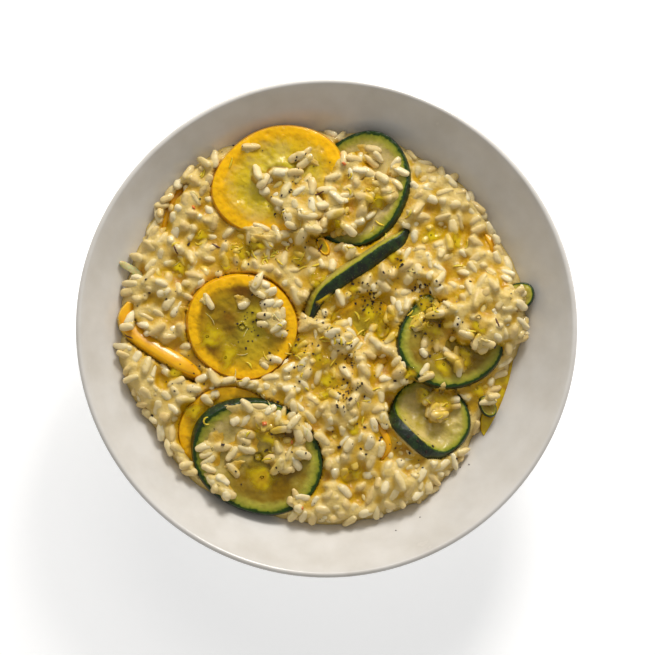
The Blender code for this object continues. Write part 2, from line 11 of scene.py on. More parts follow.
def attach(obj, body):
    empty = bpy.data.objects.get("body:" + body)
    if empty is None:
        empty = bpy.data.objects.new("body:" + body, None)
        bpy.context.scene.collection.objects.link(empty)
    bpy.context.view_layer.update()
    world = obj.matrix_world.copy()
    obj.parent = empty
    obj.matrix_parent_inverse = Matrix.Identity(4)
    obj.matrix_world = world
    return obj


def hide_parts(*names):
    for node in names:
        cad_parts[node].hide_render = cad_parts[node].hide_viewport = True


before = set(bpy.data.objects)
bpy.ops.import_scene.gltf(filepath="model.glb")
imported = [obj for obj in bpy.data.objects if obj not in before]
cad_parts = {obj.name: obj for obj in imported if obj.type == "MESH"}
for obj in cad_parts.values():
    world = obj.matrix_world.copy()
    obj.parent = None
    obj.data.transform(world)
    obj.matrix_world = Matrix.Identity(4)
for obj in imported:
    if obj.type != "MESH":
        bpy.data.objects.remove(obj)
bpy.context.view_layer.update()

# ---- Pasta bowl ---------------------------------------------------------------------------------
# A wide shallow bowl of stoneware, turned on a wheel and dipped in an off-white glaze. The glaze
# is wiped off the foot ring before the firing, so the clay shows there.
MM = 0.001
BOWL_RADIUS = 107.88 * MM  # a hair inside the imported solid's box
BOWL_HEIGHT = 52.98 * MM
LIP_RADIUS = 1.35 * MM
FLOOR_TOP = 7.0 * MM
WALL_STEEPNESS = 3.0
RIM_SLOPE = math.radians(52.0)
WALL_AT_RIM = 2.7 * MM
WALL_AT_FOOT = 4.3 * MM
FOOT_OUTER = 47.5 * MM
FOOT_INNER = 42.5 * MM
FOOT_EDGE = 0.8 * MM
LIP_X = BOWL_RADIUS - LIP_RADIUS
LIP_Z = BOWL_HEIGHT - LIP_RADIUS
INSIDE_END = LIP_X - LIP_RADIUS * math.sin(RIM_SLOPE)
INSIDE_TOP = LIP_Z + LIP_RADIUS * math.cos(RIM_SLOPE)
BOWL_TURNS = 192
GLAZE = ("#DCD9D4", "#D1CDC6")
GLAZE_MOTTLE = 14.0 * MM  # size of the paler and darker clouds in the glaze
GLAZE_RIPPLE = 5.0 * MM  # length of the ripples that running glaze leaves
BARE_CLAY = "#C8B594"


def linear(code):
    """An sRGB hex colour as linear red, green, blue and a full alpha."""
    parts = [int(code[k:k + 2], 16) / 255.0 for k in (1, 3, 5)]
    return (*[c / 12.92 if c <= 0.04045 else ((c + 0.055) / 1.055) ** 2.4 for c in parts], 1.0)


def add_node(tree, kind, inputs=(), links=(), stops=(), **settings):
    """Add a shader node with its settings, socket values, colour stops and links.

    A link comes from a socket, or from a node, which stands for its first output.
    """
    made = tree.nodes.new("ShaderNode" + kind)
    for name, value in settings.items():
        setattr(made, name, value)
    for socket, value in dict(inputs).items():
        made.inputs[socket].default_value = value
    for socket, source in dict(links).items():
        tree.links.new(getattr(source, "outputs", [source])[0], made.inputs[socket])
    for k, (place, code) in enumerate(stops):
        stop = made.color_ramp.elements[k] if k < 2 else made.color_ramp.elements.new(place)
        stop.position = place
        stop.color = linear(code)
    return made


def new_material(name):
    """A material, its empty node tree, and the place on the object that its patterns follow."""
    made = bpy.data.materials.new(name)
    made.use_nodes = True
    tree = made.node_tree
    tree.nodes.clear()
    return made, tree, add_node(tree, "NewGeometry").outputs["Position"]


def show(tree, shader):
    """Send a shader to the material's output."""
    add_node(tree, "OutputMaterial", links={"Surface": shader})


def make_piece(name, points, faces, materials, face_materials=None, values=None):
    """A smooth mesh on the root body, with point values for its materials to read."""
    mesh = bpy.data.meshes.new(name)
    mesh.from_pydata(np.asarray(points).tolist(), [], [tuple(face) for face in faces])
    for material in materials:
        mesh.materials.append(material)
    if face_materials is not None:
        mesh.polygons.foreach_set("material_index", np.asarray(face_materials, np.int32))
    for key, numbers in (values or {}).items():
        numbers = np.asarray(numbers, np.float32)
        kind = "FLOAT_VECTOR" if numbers.ndim == 2 else "FLOAT"
        layer = mesh.attributes.new(key, kind, "POINT")
        layer.data.foreach_set("vector" if numbers.ndim == 2 else "value", numbers.ravel())
    mesh.shade_smooth()
    mesh.update()
    made = bpy.data.objects.new(name, mesh)
    bpy.context.scene.collection.objects.link(made)
    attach(made, "root")
    return made


def sheet_faces(rows, columns, start=0, closed=True):
    """Quads of a sheet of points, row after row. Closed, its last column meets its first."""
    row = np.arange(rows - 1)[:, None] * columns
    column = np.arange(columns if closed else columns - 1)[None, :]
    after = (column + 1) % columns
    quads = np.stack((row + column, row + after, row + columns + after, row + columns + column), -1)
    return (quads.reshape(-1, 4) + start).tolist()


def close_ends(faces, rows, columns, start, middles, flip=False):
    """Close a round sheet's first and last rows on two middle points."""
    last = start + (rows - 1) * columns
    for k in range(columns):
        after = (k + 1) % columns
        a, b = (after, k) if flip else (k, after)
        faces += [(middles, start + a, start + b), (middles + 1, last + b, last + a)]


def all_round(count):
    """Evenly spaced angles once round."""
    return np.arange(count) * 2.0 * math.pi / count


def bowl_inside(distance):
    """Height of the bowl's inside at a distance from its axis."""
    return FLOOR_TOP + (INSIDE_TOP - FLOOR_TOP) * (distance / INSIDE_END) ** WALL_STEEPNESS


def bowl_outside(distance):
    """Point of the outside that backs a point of the inside."""
    wall = WALL_AT_FOOT + (WALL_AT_RIM - WALL_AT_FOOT) * distance / INSIDE_END
    rise = (bowl_inside(distance + 0.1 * MM) - bowl_inside(distance)) / (0.1 * MM)
    slope = math.atan(rise)
    return distance + wall * math.sin(slope), bowl_inside(distance) - wall * math.cos(slope)


def bowl_profile():
    """The bowl's section: up the inside, over the lip, down the outside and round the foot."""
    profile = [(INSIDE_END * share, bowl_inside(INSIDE_END * share))
               for share in np.linspace(0.0, 1.0, 48)[1:]]
    for share in np.linspace(0.0, 1.0, 12)[1:]:
        angle = math.radians(90.0) + RIM_SLOPE - math.radians(180.0) * share
        profile.append((LIP_X + LIP_RADIUS * math.cos(angle), LIP_Z + LIP_RADIUS * math.sin(angle)))
    profile += [bowl_outside(INSIDE_END * share) for share in np.linspace(0.985, 0.47, 26)]
    foot_top = bowl_outside(FOOT_OUTER - WALL_AT_FOOT / 2)[1]
    profile.append((FOOT_OUTER + 2 * FOOT_EDGE, foot_top + 0.5 * FOOT_EDGE))
    profile.append((FOOT_OUTER + FOOT_EDGE, foot_top - FOOT_EDGE))
    for share in np.linspace(0.0, 1.0, 5):
        turn = math.radians(90.0) * share
        profile.append((FOOT_OUTER + FOOT_EDGE * (math.cos(turn) - 1.0) + 0.2 * MM * (1 - share),
                        FOOT_EDGE * (1.0 - math.sin(turn))))
    profile.append((FOOT_INNER + 0.3 * MM, 0.0))
    profile.append((FOOT_INNER, 0.3 * MM))
    profile.append((FOOT_INNER - FOOT_EDGE, bowl_inside(FOOT_INNER) - WALL_AT_FOOT))
    profile.append((0.5 * FOOT_INNER, FLOOR_TOP - WALL_AT_FOOT + 0.4 * MM))
    return profile


def turn_profile(profile, turns):
    """Points and faces of a profile turned round the bowl's axis and closed on it."""
    section = np.array(profile)
    angle = all_round(turns)
    ring = np.stack((section[:, None, 0] * np.cos(angle), section[:, None, 0] * np.sin(angle),
                     np.repeat(section[:, None, 1], turns, 1)), -1).reshape(-1, 3)
    ends = np.array([(0.0, 0.0, FLOOR_TOP), (0.0, 0.0, FLOOR_TOP - WALL_AT_FOOT)])
    faces = sheet_faces(len(section), turns)
    close_ends(faces, len(section), turns, 0, len(ring), flip=True)
    return np.vstack((ring, ends)), faces


def stoneware_glaze():
    """Off-white glaze: the bowl was dipped in it and fired, so it is melted glass over clay.

    It ran a little thicker and thinner, which the eye sees as faint clouds and slow ripples in a
    soft gloss. The foot ring was wiped, and shows matt clay.
    """
    made, tree, place = new_material("stoneware_glaze")
    cloud = add_node(tree, "TexNoise", {"Scale": 1.0 / GLAZE_MOTTLE, "Detail": 4.0},
                     {"Vector": place})
    tint = add_node(tree, "ValToRGB", links={"Fac": cloud},
                    stops=((0.35, GLAZE[0]), (0.7, GLAZE[1])))
    height = add_node(tree, "SeparateXYZ", links={0: place})
    bare = add_node(tree, "MapRange", {1: 0.9 * MM, 2: 0.3 * MM}, {"Value": height.outputs["Z"]})
    colour = add_node(tree, "Mix", {7: linear(BARE_CLAY)}, {0: bare, 6: tint}, data_type="RGBA")
    sheen = add_node(tree, "MapRange", {3: 0.2, 4: 0.3}, {"Value": cloud})
    rough = add_node(tree, "Mix", {3: 0.8}, {0: bare, 2: sheen})
    ripple = add_node(tree, "TexNoise", {"Scale": 1.0 / GLAZE_RIPPLE, "Detail": 2.0},
                      {"Vector": place})
    bump = add_node(tree, "Bump", {"Strength": 0.06, "Distance": 0.4 * MM}, {"Height": ripple})
    show(tree, add_node(tree, "BsdfPrincipled",
                        {"IOR": 1.5, "Coat Weight": 0.3, "Coat Roughness": 0.12},
                        {"Base Color": colour.outputs[2], "Roughness": rough, "Normal": bump}))
    return made


bowl_points, bowl_faces = turn_profile(bowl_profile(), BOWL_TURNS)
bowl = make_piece("pasta_bowl", bowl_points, bowl_faces, [stoneware_glaze()])
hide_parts("bowl")

# ---- Rounds of squash and zucchini --------------------------------------------------------------
# Rounds cut across yellow squash and green zucchini, cooked until the flesh is soft and sunken
# and the peel shines. They lie on the rice and in it, glazed with sauce and olive oil.
EDGE_ROUND = 0.7 * MM  # radius of a slice's softened edge
# Middle of the top, half sizes and thickness in millimetres, turns in degrees. Rice may bury a
# slice that isn't open, and a curl bends a slice up on the side that it names.
# The oil value darkens a slice's cut face with a stain: partly oil soaked in, partly painted shade
# on slices that lie in shade. A side angle makes it deeper towards that side, where more shade is
# painted.
ROUNDS = {
    "yellow_slice_1": dict(at=(-21.1, 64.9, 42.4), size=(29.5, 23.2), spin=19, lean=2.0, up=100,
                           thick=5.2, cone=1.0, oily=0.1, sauced=0.45, ridge=True),
    "yellow_slice_2": dict(at=(-36.8, 0.6, 39.8), size=(24.1, 22.6), spin=-19, lean=7.0, up=135,
                           thick=6.0, cone=1.0, oily=0.85, sauced=0.1, oil_and_shade_side=140),
    "yellow_slice_3": dict(at=(-43.4, -44.2, 34.6), size=(21.4, 18.4), spin=15, lean=12.0, up=125,
                           thick=4.6, oily=0.9, sauced=0.1, oil_and_shade_side=-45),
    "yellow_slice_6": dict(at=(-1.6, 36.2, 38.4), size=(4.4, 2.3), spin=-62, lean=8.0, up=0,
                           thick=2.6, oily=0.6, sauced=0.0),
    "yellow_slice_7": dict(at=(16.8, -2.0, 35.4), size=(16.2, 15.8), spin=0, lean=3.0, up=180,
                           thick=4.6, cone=0.5, open=False, oily=0.6, sauced=0.3),
    "green_slice_1": dict(at=(-29.8, -56.3, 38.4), size=(28.8, 23.9), spin=-22, lean=3.5, up=125,
                          thick=5.0, cone=0.5, curl=24.0, curl_from=14.0, curl_to=125,
                          oily=1.0, sauced=0.42, oil_and_shade_side=-50),
    "green_slice_2": dict(at=(13.7, 61.8, 37.4), size=(26.6, 21.6), spin=60, lean=9.5, up=30,
                          thick=4.2, curl=28.0, curl_from=8.0, curl_to=-35, oily=0.3,
                          sauced=0.75),
    "green_slice_4": dict(at=(54.9, -4.3, 38.6), size=(23.9, 21.6), spin=25, lean=5.0, up=205,
                          thick=5.0, cone=0.5, open=False, oily=0.9, sauced=0.35),
    "green_slice_5": dict(at=(45.4, -38.8, 33.0), size=(16.4, 18.0), spin=45, lean=7.0, up=-45,
                          thick=5.4, curl=10.5, curl_from=0.0, curl_to=225, oily=0.1,
                          sauced=0.6),
    "green_slice_6": dict(at=(83.6, 13.6, 39.4), size=(7.4, 6.0), spin=30, lean=13.0, up=10,
                          thick=3.0, open=False, oily=0.2, sauced=0.4),
    "green_slice_7": dict(at=(70.6, -34.0, 34.8), size=(5.0, 3.4), spin=-60, lean=6.0, up=200,
                          thick=3.0, oily=0.6, sauced=0.1),
}
FACE_ROWS = 17  # rings of points across a cut face
SMALL_FACE = 8.0 * MM  # slices under this half length keep a plain cut face
SUNKEN = 0.75 * MM  # how far the soft middle of a cut face has sunk
FACE_BUMPS = ((0.45 * MM, 6.0 * MM, 0.8), (0.25 * MM, 2.2 * MM, 0.9))  # height, size, fade from
SEED_LOBES = 0.35 * MM  # height of the three seed lobes on a cut face
RIDGE = 1.5 * MM  # height of the fold round the seeds of the largest slice
PEEL_BULGE = 0.25 * MM
# Colours from the middle of the cut face out to the peel: share of the radius and colour.
SQUASH_FLESH = ((0.0, "#BEB42E"), (0.34, "#CFBB28"), (0.6, "#D8BA1E"), (0.82, "#E2B00A"),
                (0.88, "#F8BE08"))
SQUASH_PEEL = ("#F2B800", "#E09A00")
ZUCCHINI_FLESH = ((0.0, "#98851A"), (0.36, "#A6942E"), (0.6, "#B8A64A"), (0.88, "#AAA23A"),
                  (0.94, "#8A9026"), (0.968, "#26420C"))
ZUCCHINI_PEEL = ("#0A1A06", "#234210", "#5E7428")
# Darkest stain on a cut face: oil soaked in, and painted shade on slices that lie in shade.
OIL_STAIN_AND_SHADE = {"squash": "#7E5400", "zucchini": "#866600"}
CREAM = "#DCC482"
FIBRE = 1.5 * MM  # width of the fibres in cooked flesh, coarser than the real 0.5 mm to show
OIL_PATCH = 12.0 * MM  # size of the patches where oil soaked into a cut face
SAUCE_PATCH = 6.5 * MM  # size of the smears of sauce on it
STREAK = 4.0 * MM  # width of the paler streaks in zucchini peel
FLECK = 1.3 * MM  # distance between its pale flecks
FLESH_DEPTH = 2.6 * MM  # how far light goes into cooked flesh
WET_FILM = 1.36  # index of the watery sauce that coats the food
UNDER_FILM = 0.2  # the food's own gloss, most of which is lost under that film


def on_slice(spec, points):
    """Carry points from a slice's own flat frame to its place in the bowl."""
    x, y, z = np.asarray(points, float).T
    if "curl" in spec:
        across = math.radians(spec["curl_to"] - spec["spin"])
        cos, sin = math.cos(across), math.sin(across)
        towards = x * cos + y * sin - spec["curl_from"] * MM
        beside = -x * sin + y * cos
        radius = spec["curl"] * MM
        turned = np.maximum(towards, 0.0) / radius
        curled = towards > 0.0
        towards = np.where(curled, (radius - z) * np.sin(turned), towards)
        z = np.where(curled, radius - (radius - z) * np.cos(turned), z)
        towards = towards + spec["curl_from"] * MM
        x, y = towards * cos - beside * sin, towards * sin + beside * cos
    up = math.radians(spec["up"])
    lean = Matrix.Rotation(math.radians(spec["lean"]), 3, Vector((math.sin(up), -math.cos(up), 0)))
    turn = lean @ Matrix.Rotation(math.radians(spec["spin"]), 3, "Z")
    return np.stack((x, y, z), -1) @ np.array(turn).T + np.array(spec["at"]) * MM


def smooth_step(low, high, value):
    """0 below low, 1 above high, and a smooth run between them."""
    share = np.clip((np.asarray(value, float) - low) / (high - low), 0.0, 1.0)
    return share * share * (3.0 - 2.0 * share)


def uneven(x, y, seed, size):
    """Smooth unevenness from -1 to 1 over a plane, with bumps of about one size."""
    draw = np.random.default_rng(seed)
    total = np.zeros(np.broadcast(x, y).shape)
    for _ in range(7):
        turn, start = draw.uniform(0.0, 2.0 * math.pi, 2)
        wave = size * draw.uniform(1.4, 2.6)
        along = np.asarray(x) * math.cos(turn) + np.asarray(y) * math.sin(turn)
        across = np.asarray(y) * math.cos(turn) - np.asarray(x) * math.sin(turn)
        total = total + np.sin(2 * math.pi * along / wave + start + 0.9 * np.sin(across / size))
    return total / 3.5


def make_round(name, spec, materials):
    """A round slice: sunken cut face, rounded edge, band of peel and the cut face below."""
    long, wide = (half * MM for half in spec["size"])
    thick, cone = spec["thick"] * MM, spec.get("cone", 0.0) * MM
    small = long < SMALL_FACE
    columns = 36 if small else 96
    angle = all_round(columns)
    seed = sum(map(ord, name))
    wave = 1.0 + 0.012 * np.sin(3.0 * angle + long / MM) + 0.008 * np.sin(5.0 * angle)
    rows = []
    for share in np.linspace(0.0, 1.0, FACE_ROWS + 1)[1:]:
        rows.append((share, -EDGE_ROUND / 2, 0.0, True))
    for turn in (0.3, 0.6, 1.0):
        rows.append((1.0, -EDGE_ROUND / 2 * (1.0 - math.sin(turn * math.pi / 2)),
                     -EDGE_ROUND * (1.0 - math.cos(turn * math.pi / 2)), False))
    for share in (0.25, 0.5, 0.75, 1.0):
        bulge = PEEL_BULGE * math.sin(math.pi * share)
        rows.append((1.0, cone * share + bulge,
                     -EDGE_ROUND + (2 * EDGE_ROUND - thick) * share, False))
    rows.append((1.0, cone - 0.5 * EDGE_ROUND, -thick + 0.3 * EDGE_ROUND, False))
    rows.append((1.0, cone - 1.6 * EDGE_ROUND, -thick, True))
    rows.append((0.6, 0.0, -thick, True))
    points, flat = [], []
    for number, (share, out, z, _) in enumerate(rows):
        x = (long * share * wave + out * share) * np.cos(angle)
        y = (wide * share * wave + out * share) * np.sin(angle)
        level = np.full(columns, z)
        if number < FACE_ROWS:
            level = level - SUNKEN * (1.0 - smooth_step(0.42, 0.9, share)) * (not small)
            for k, (high, size, fade) in enumerate(FACE_BUMPS):
                bumps = high * uneven(x, y, seed + k, size)
                level = level + bumps * (1.0 - smooth_step(fade, 1.0, share))
            lobes = np.cos(3.0 * angle + seed) * np.exp(-((share - 0.36) / 0.13) ** 2)
            level = level + SEED_LOBES * lobes * (not small)
            if spec.get("ridge"):
                arc = smooth_step(0.35, 0.8, np.cos(angle - math.radians(78.0)))
                level = level + RIDGE * arc * np.exp(-((share - 0.3) / 0.055) ** 2)
        points.append(np.stack((x, y, level), -1))
        flat.append(np.stack((share * np.cos(angle), share * np.sin(angle), level / thick), -1))
    middle = float(points[0][:, 2].mean())
    points = np.vstack(points + [np.array([(0, 0, middle), (0, 0, -thick)])])
    flat = np.vstack(flat + [np.array([(0, 0, 0), (0, 0, -1)])])
    faces = sheet_faces(len(rows), columns)
    kinds = [0 if rows[row][3] and rows[row + 1][3] else 1
             for row in range(len(rows) - 1) for _ in range(columns)]
    close_ends(faces, len(rows), columns, 0, len(points) - 2)
    kinds += [0, 0] * columns
    placed = on_slice(spec, points)
    # The stain is partly oil and partly painted shade, and grows towards the named side, where the
    # sauce thins.
    side = math.radians(spec.get("oil_and_shade_side", 0.0))
    over = (placed[:, :2] - np.array(spec["at"][:2]) * MM) @ (math.cos(side), math.sin(side)) / long
    over = over * ("oil_and_shade_side" in spec)
    oily, sauced = spec["oily"] * (1.0 + 0.6 * over), spec["sauced"] * (1.0 - 0.8 * over)
    made = make_piece(name + "_cooked", placed, faces, materials, kinds,
                      {"flat": flat, "oily": oily, "sauced": sauced})
    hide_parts(name)
    return made


def cooked_flesh(name, stops, stain_and_shade_colour):
    """Cut face of cooked squash: a knife opened it, and heat made its cells soft and wet.

    The eye gets rings of paler and greener flesh with a fibrous, uneven shine, deep stains where
    oil soaked in, which are also painted shade on slices and sides that lie in shade, and pale
    smears where sauce dried on.
    """
    made, tree, place = new_material(name)
    flat = add_node(tree, "Attribute", attribute_name="flat").outputs["Vector"]
    plane = add_node(tree, "VectorMath", {1: (1.0, 1.0, 0.0)}, {0: flat}, operation="MULTIPLY")
    reach = add_node(tree, "VectorMath", links={0: plane}, operation="LENGTH").outputs["Value"]
    fibre = add_node(tree, "TexNoise", {"Scale": 0.5 / FIBRE, "Detail": 5.0, "Distortion": 0.8},
                     {"Vector": place})
    shift = add_node(tree, "MapRange", {3: -0.06, 4: 0.06}, {"Value": fibre})
    ring = add_node(tree, "Math", links={0: reach, 1: shift}, operation="ADD")
    inside = add_node(tree, "MapRange", {1: 0.86, 2: 0.77}, {"Value": ring})
    tint = add_node(tree, "ValToRGB", links={"Fac": ring}, stops=stops)
    pulp = add_node(tree, "TexVoronoi", {"Scale": 0.7 / FIBRE}, {"Vector": place},
                    feature="SMOOTH_F1")
    paler = add_node(tree, "MapRange", {1: 0.0, 2: 0.8, 3: 0.88, 4: 1.12},
                     {"Value": pulp.outputs["Distance"]})
    pulpy = add_node(tree, "VectorMath", links={0: tint, 3: paler}, operation="SCALE")
    # Dark stain from the oil value: partly soaked-in oil, partly painted shade.
    oily = add_node(tree, "Attribute", attribute_name="oily").outputs["Fac"]
    soaked = add_node(tree, "TexNoise", {"Scale": 1.0 / OIL_PATCH, "Detail": 1.0},
                      {"Vector": place})
    stain = add_node(tree, "Math", {1: 0.42}, {0: soaked}, operation="SUBTRACT")
    stain = add_node(tree, "Math", {1: 1.8, 2: 0.5}, {0: stain}, operation="MULTIPLY_ADD",
                     use_clamp=True)
    stain = add_node(tree, "Math", links={0: stain, 1: oily}, operation="MULTIPLY",
                     use_clamp=True)
    stain = add_node(tree, "Math", links={0: stain, 1: inside}, operation="MULTIPLY")
    wet = add_node(tree, "Mix", {7: linear(stain_and_shade_colour)}, {0: stain, 6: pulpy}, data_type="RGBA")
    sauced = add_node(tree, "Attribute", attribute_name="sauced").outputs["Fac"]
    smear = add_node(tree, "TexNoise", {"Scale": 1.0 / SAUCE_PATCH, "Detail": 6.0,
                                        "Roughness": 0.6}, {"Vector": place})
    cover = add_node(tree, "Math", links={0: smear, 1: sauced}, operation="MULTIPLY")
    cover = add_node(tree, "MapRange", {1: 0.2, 2: 0.42, 4: 0.85}, {"Value": cover})
    cover = add_node(tree, "Math", links={0: cover, 1: inside}, operation="MULTIPLY")
    colour = add_node(tree, "Mix", {7: linear(CREAM)}, {0: cover, 6: wet.outputs[2]},
                      data_type="RGBA")
    rough = add_node(tree, "MapRange", {3: 0.14, 4: 0.4}, {"Value": smear})
    relief = add_node(tree, "Math", links={0: fibre, 1: pulp}, operation="ADD")
    bump = add_node(tree, "Bump", {"Strength": 0.7, "Distance": 0.5 * MM}, {"Height": relief})
    show(tree, add_node(tree, "BsdfPrincipled",
                        {"IOR": 1.38, "Subsurface Weight": 0.25, "Subsurface Scale": FLESH_DEPTH,
                         "Subsurface Radius": (1.0, 0.8, 0.2), "Coat Weight": 0.6,
                         "Coat Roughness": 0.05, "Coat IOR": WET_FILM,
                         "Specular IOR Level": UNDER_FILM},
                        {"Base Color": colour.outputs[2], "Roughness": rough, "Normal": bump,
                         "Coat Normal": bump}))
    return made


def mottled(name, codes, patch_size, relief, surface, second_from=0.7):
    """A finish in two tints, in patches of one size, with a relief that follows them."""
    made, tree, place = new_material(name)
    patch = add_node(tree, "TexNoise", {"Scale": 1.0 / patch_size, "Detail": 3.0},
                     {"Vector": place})
    tint = add_node(tree, "ValToRGB", links={"Fac": patch},
                    stops=((0.35, codes[0]), (second_from, codes[1])))
    bump = add_node(tree, "Bump", {"Strength": relief[0], "Distance": relief[1] * MM},
                    {"Height": patch})
    show(tree, add_node(tree, "BsdfPrincipled", surface, {"Base Color": tint, "Normal": bump}))
    return made


def zucchini_peel():
    """Peel of green zucchini: the plant's own waxy skin, softened by cooking and rubbed with oil.

    The eye gets a near black green, streaked and flecked paler, with a broken shine.
    """
    made, tree, place = new_material("zucchini_peel")
    streak = add_node(tree, "TexNoise", {"Scale": 1.0 / STREAK, "Detail": 4.0,
                                         "Roughness": 0.65}, {"Vector": place})
    tint = add_node(tree, "ValToRGB", links={"Fac": streak},
                    stops=((0.42, ZUCCHINI_PEEL[0]), (0.66, ZUCCHINI_PEEL[1])))
    fleck = add_node(tree, "TexVoronoi", {"Scale": 1.0 / FLECK}, {"Vector": place})
    spot = add_node(tree, "MapRange", {1: 0.2, 2: 0.1, 4: 0.6},
                    {"Value": fleck.outputs["Distance"]})
    colour = add_node(tree, "Mix", {7: linear(ZUCCHINI_PEEL[2])}, {0: spot, 6: tint},
                      data_type="RGBA")
    bump = add_node(tree, "Bump", {"Strength": 0.9, "Distance": 0.9 * MM}, {"Height": streak})
    show(tree, add_node(tree, "BsdfPrincipled",
                        {"IOR": 1.33, "Roughness": 0.5, "Coat Weight": 0.6,
                         "Coat Roughness": 0.05},
                        {"Base Color": colour.outputs[2], "Normal": bump, "Coat Normal": bump}))
    return made


# The peel of yellow squash is thin, smooth skin. Heat blotched it and oil wetted it, so the eye
# gets a bright, even shine over slightly deeper blotches.
SQUASH_SKIN = mottled("squash_peel", SQUASH_PEEL, 5.0 * MM, (0.25, 0.3),
                      {"IOR": 1.4, "Roughness": 0.3, "Subsurface Weight": 0.15,
                       "Subsurface Scale": FLESH_DEPTH, "Subsurface Radius": (1.0, 0.7, 0.05),
                       "Coat Weight": 0.4, "Coat Roughness": 0.08}, second_from=0.72)
SQUASH = [cooked_flesh("squash_flesh", SQUASH_FLESH, OIL_STAIN_AND_SHADE["squash"]), SQUASH_SKIN]
ZUCCHINI = [cooked_flesh("zucchini_flesh", ZUCCHINI_FLESH, OIL_STAIN_AND_SHADE["zucchini"]), zucchini_peel()]
vegetables = []
for round_name, round_spec in ROUNDS.items():
    yellow = round_name.startswith("yellow")
    cooked = make_round(round_name, round_spec, SQUASH if yellow else ZUCCHINI)
    vegetables.append(cooked)

# ---- Slices on edge -----------------------------------------------------------------------------
# Slices that were folded or pushed upright when the rice was spooned in. A band of peel shows on
# top, with the cut flesh beside it. A thin sliver of cooked onion lies at the heap's left edge.
STRIPS = {  # route of the peel's middle, width, and depth at either end, in millimetres
    "yellow_slice_4": dict(route=((-85.5, 11.0, 39.6), (-87.0, 5.0, 40.4), (-84.0, -1.2, 40.4),
                                  (-74.0, -8.6, 40.8), (-63.0, -15.2, 40.2), (-54.6, -20.0, 37.6)),
                           wide=7.0, deep=(2.6, 8.6), lean=-22),
    "yellow_slice_5": dict(route=((-61.2, 63.6, 36.6), (-66.6, 58.2, 38.2), (-70.0, 51.4, 38.0),
                                  (-72.4, 41.6, 36.0)),
                           wide=2.8, deep=(1.8, 3.2), lean=0),
    "yellow_slice_8": dict(route=((69.6, 42.4, 35.4), (72.4, 37.8, 37.0), (73.4, 33.2, 35.4)),
                           wide=2.4, deep=(3.0, 3.0), lean=0),
    "yellow_slice_9": dict(route=((21.0, -40.6, 37.6), (25.2, -46.4, 38.4), (27.0, -52.4, 38.4),
                                  (23.6, -57.6, 36.6)),
                           wide=2.6, deep=(4.0, 4.0), lean=0),
    "green_slice_3": dict(route=((36.2, 43.6, 37.6), (32.6, 38.0, 40.6), (25.7, 33.2, 41.8),
                                 (16.9, 27.0, 42.2), (8.1, 21.2, 42.0), (-1.6, 13.4, 40.8),
                                 (-6.2, 4.4, 37.4)),
                          wide=6.6, deep=(3.0, 7.0), lean=-36),
    "onion_sliver": dict(route=((-90.4, 28.6, 41.8), (-86.0, 26.2, 39.6), (-80.4, 23.0, 37.6)),
                         wide=3.0, deep=(1.4, 2.2), lean=0),
}
ROUND_RADIUS = 13.0 * MM  # radius of the rounds that the strips were
STRIP_OILY, STRIP_SAUCED = 0.12, 0.4
PEEL_COLUMNS = range(4, 10)  # the columns of a strip's section that are peel


def through(points, count):
    """A smooth run of points through a few given ones."""
    given = [Vector(points[0]) * 2 - Vector(points[1])] + [Vector(p) for p in points]
    given.append(given[-1] * 2 - given[-2])
    spans = len(points) - 1
    run = []
    for k in range(count):
        place = spans * k / (count - 1)
        span = min(int(place), spans - 1)
        t = place - span
        a, b, c, d = given[span:span + 4]
        run.append(0.5 * (2 * b + (c - a) * t + (2 * a - 5 * b + 4 * c - d) * t ** 2
                          + (3 * b - a - 3 * c + d) * t ** 3))
    return run


def make_strip(name, spec, materials):
    """A slice on edge: its band of peel on top, and its two cut faces going down into the rice."""
    count = 8 * len(spec["route"])
    route = [point * MM for point in through(spec["route"], count)]
    lean = math.radians(spec["lean"])
    seed = sum(map(ord, name))
    points, flat = [], []
    for k, middle in enumerate(route):
        share = k / (count - 1)
        ahead = route[min(k + 1, count - 1)] - route[max(k - 1, 0)]
        ahead.z = 0.0
        ahead.normalize()
        right = Vector((ahead.y, -ahead.x, 0.0))
        side = right * math.cos(lean) - Vector((0, 0, math.sin(lean)))
        down = -right * math.sin(lean) - Vector((0, 0, math.cos(lean)))
        deep = (spec["deep"][0] + (spec["deep"][1] - spec["deep"][0]) * share) * MM
        end = min(1.0, 0.45 + 2.6 * min(share, 1.0 - share))
        out = spec["wide"] * MM / 2 * end
        out *= 1.0 + 0.05 * math.sin(9.0 * share + seed)
        right_half = [(0.35 * out, -0.1 * MM), (0.7 * out, 0.02 * deep), (0.93 * out, 0.07 * deep),
                      (out, 0.16 * deep), (out, 0.34 * deep), (out * 0.99, 0.6 * deep),
                      (out, deep)]
        section = [(-across, below) for across, below in reversed(right_half)]
        section += [(0.0, -0.16 * MM), *right_half]
        for number, (across, below) in enumerate(section):
            points.append(middle + side * across + down * below)
            flat.append((1.0 - max(0.0, below - 0.02 * deep) / ROUND_RADIUS, 0.0, 0.0))
    columns = len(section)
    faces = sheet_faces(count, columns)
    kinds = [int(column in PEEL_COLUMNS) for _ in range(count - 1) for column in range(columns)]
    faces.append(tuple(range(columns - 1, -1, -1)))
    faces.append(tuple(range((count - 1) * columns, count * columns)))
    kinds += [0, 0]
    values = {"flat": np.array(flat), "oily": np.full(len(points), STRIP_OILY),
              "sauced": np.full(len(points), STRIP_SAUCED)}
    made = make_piece(name + "_cooked", points, faces, materials, kinds, values)
    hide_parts(name)
    return made


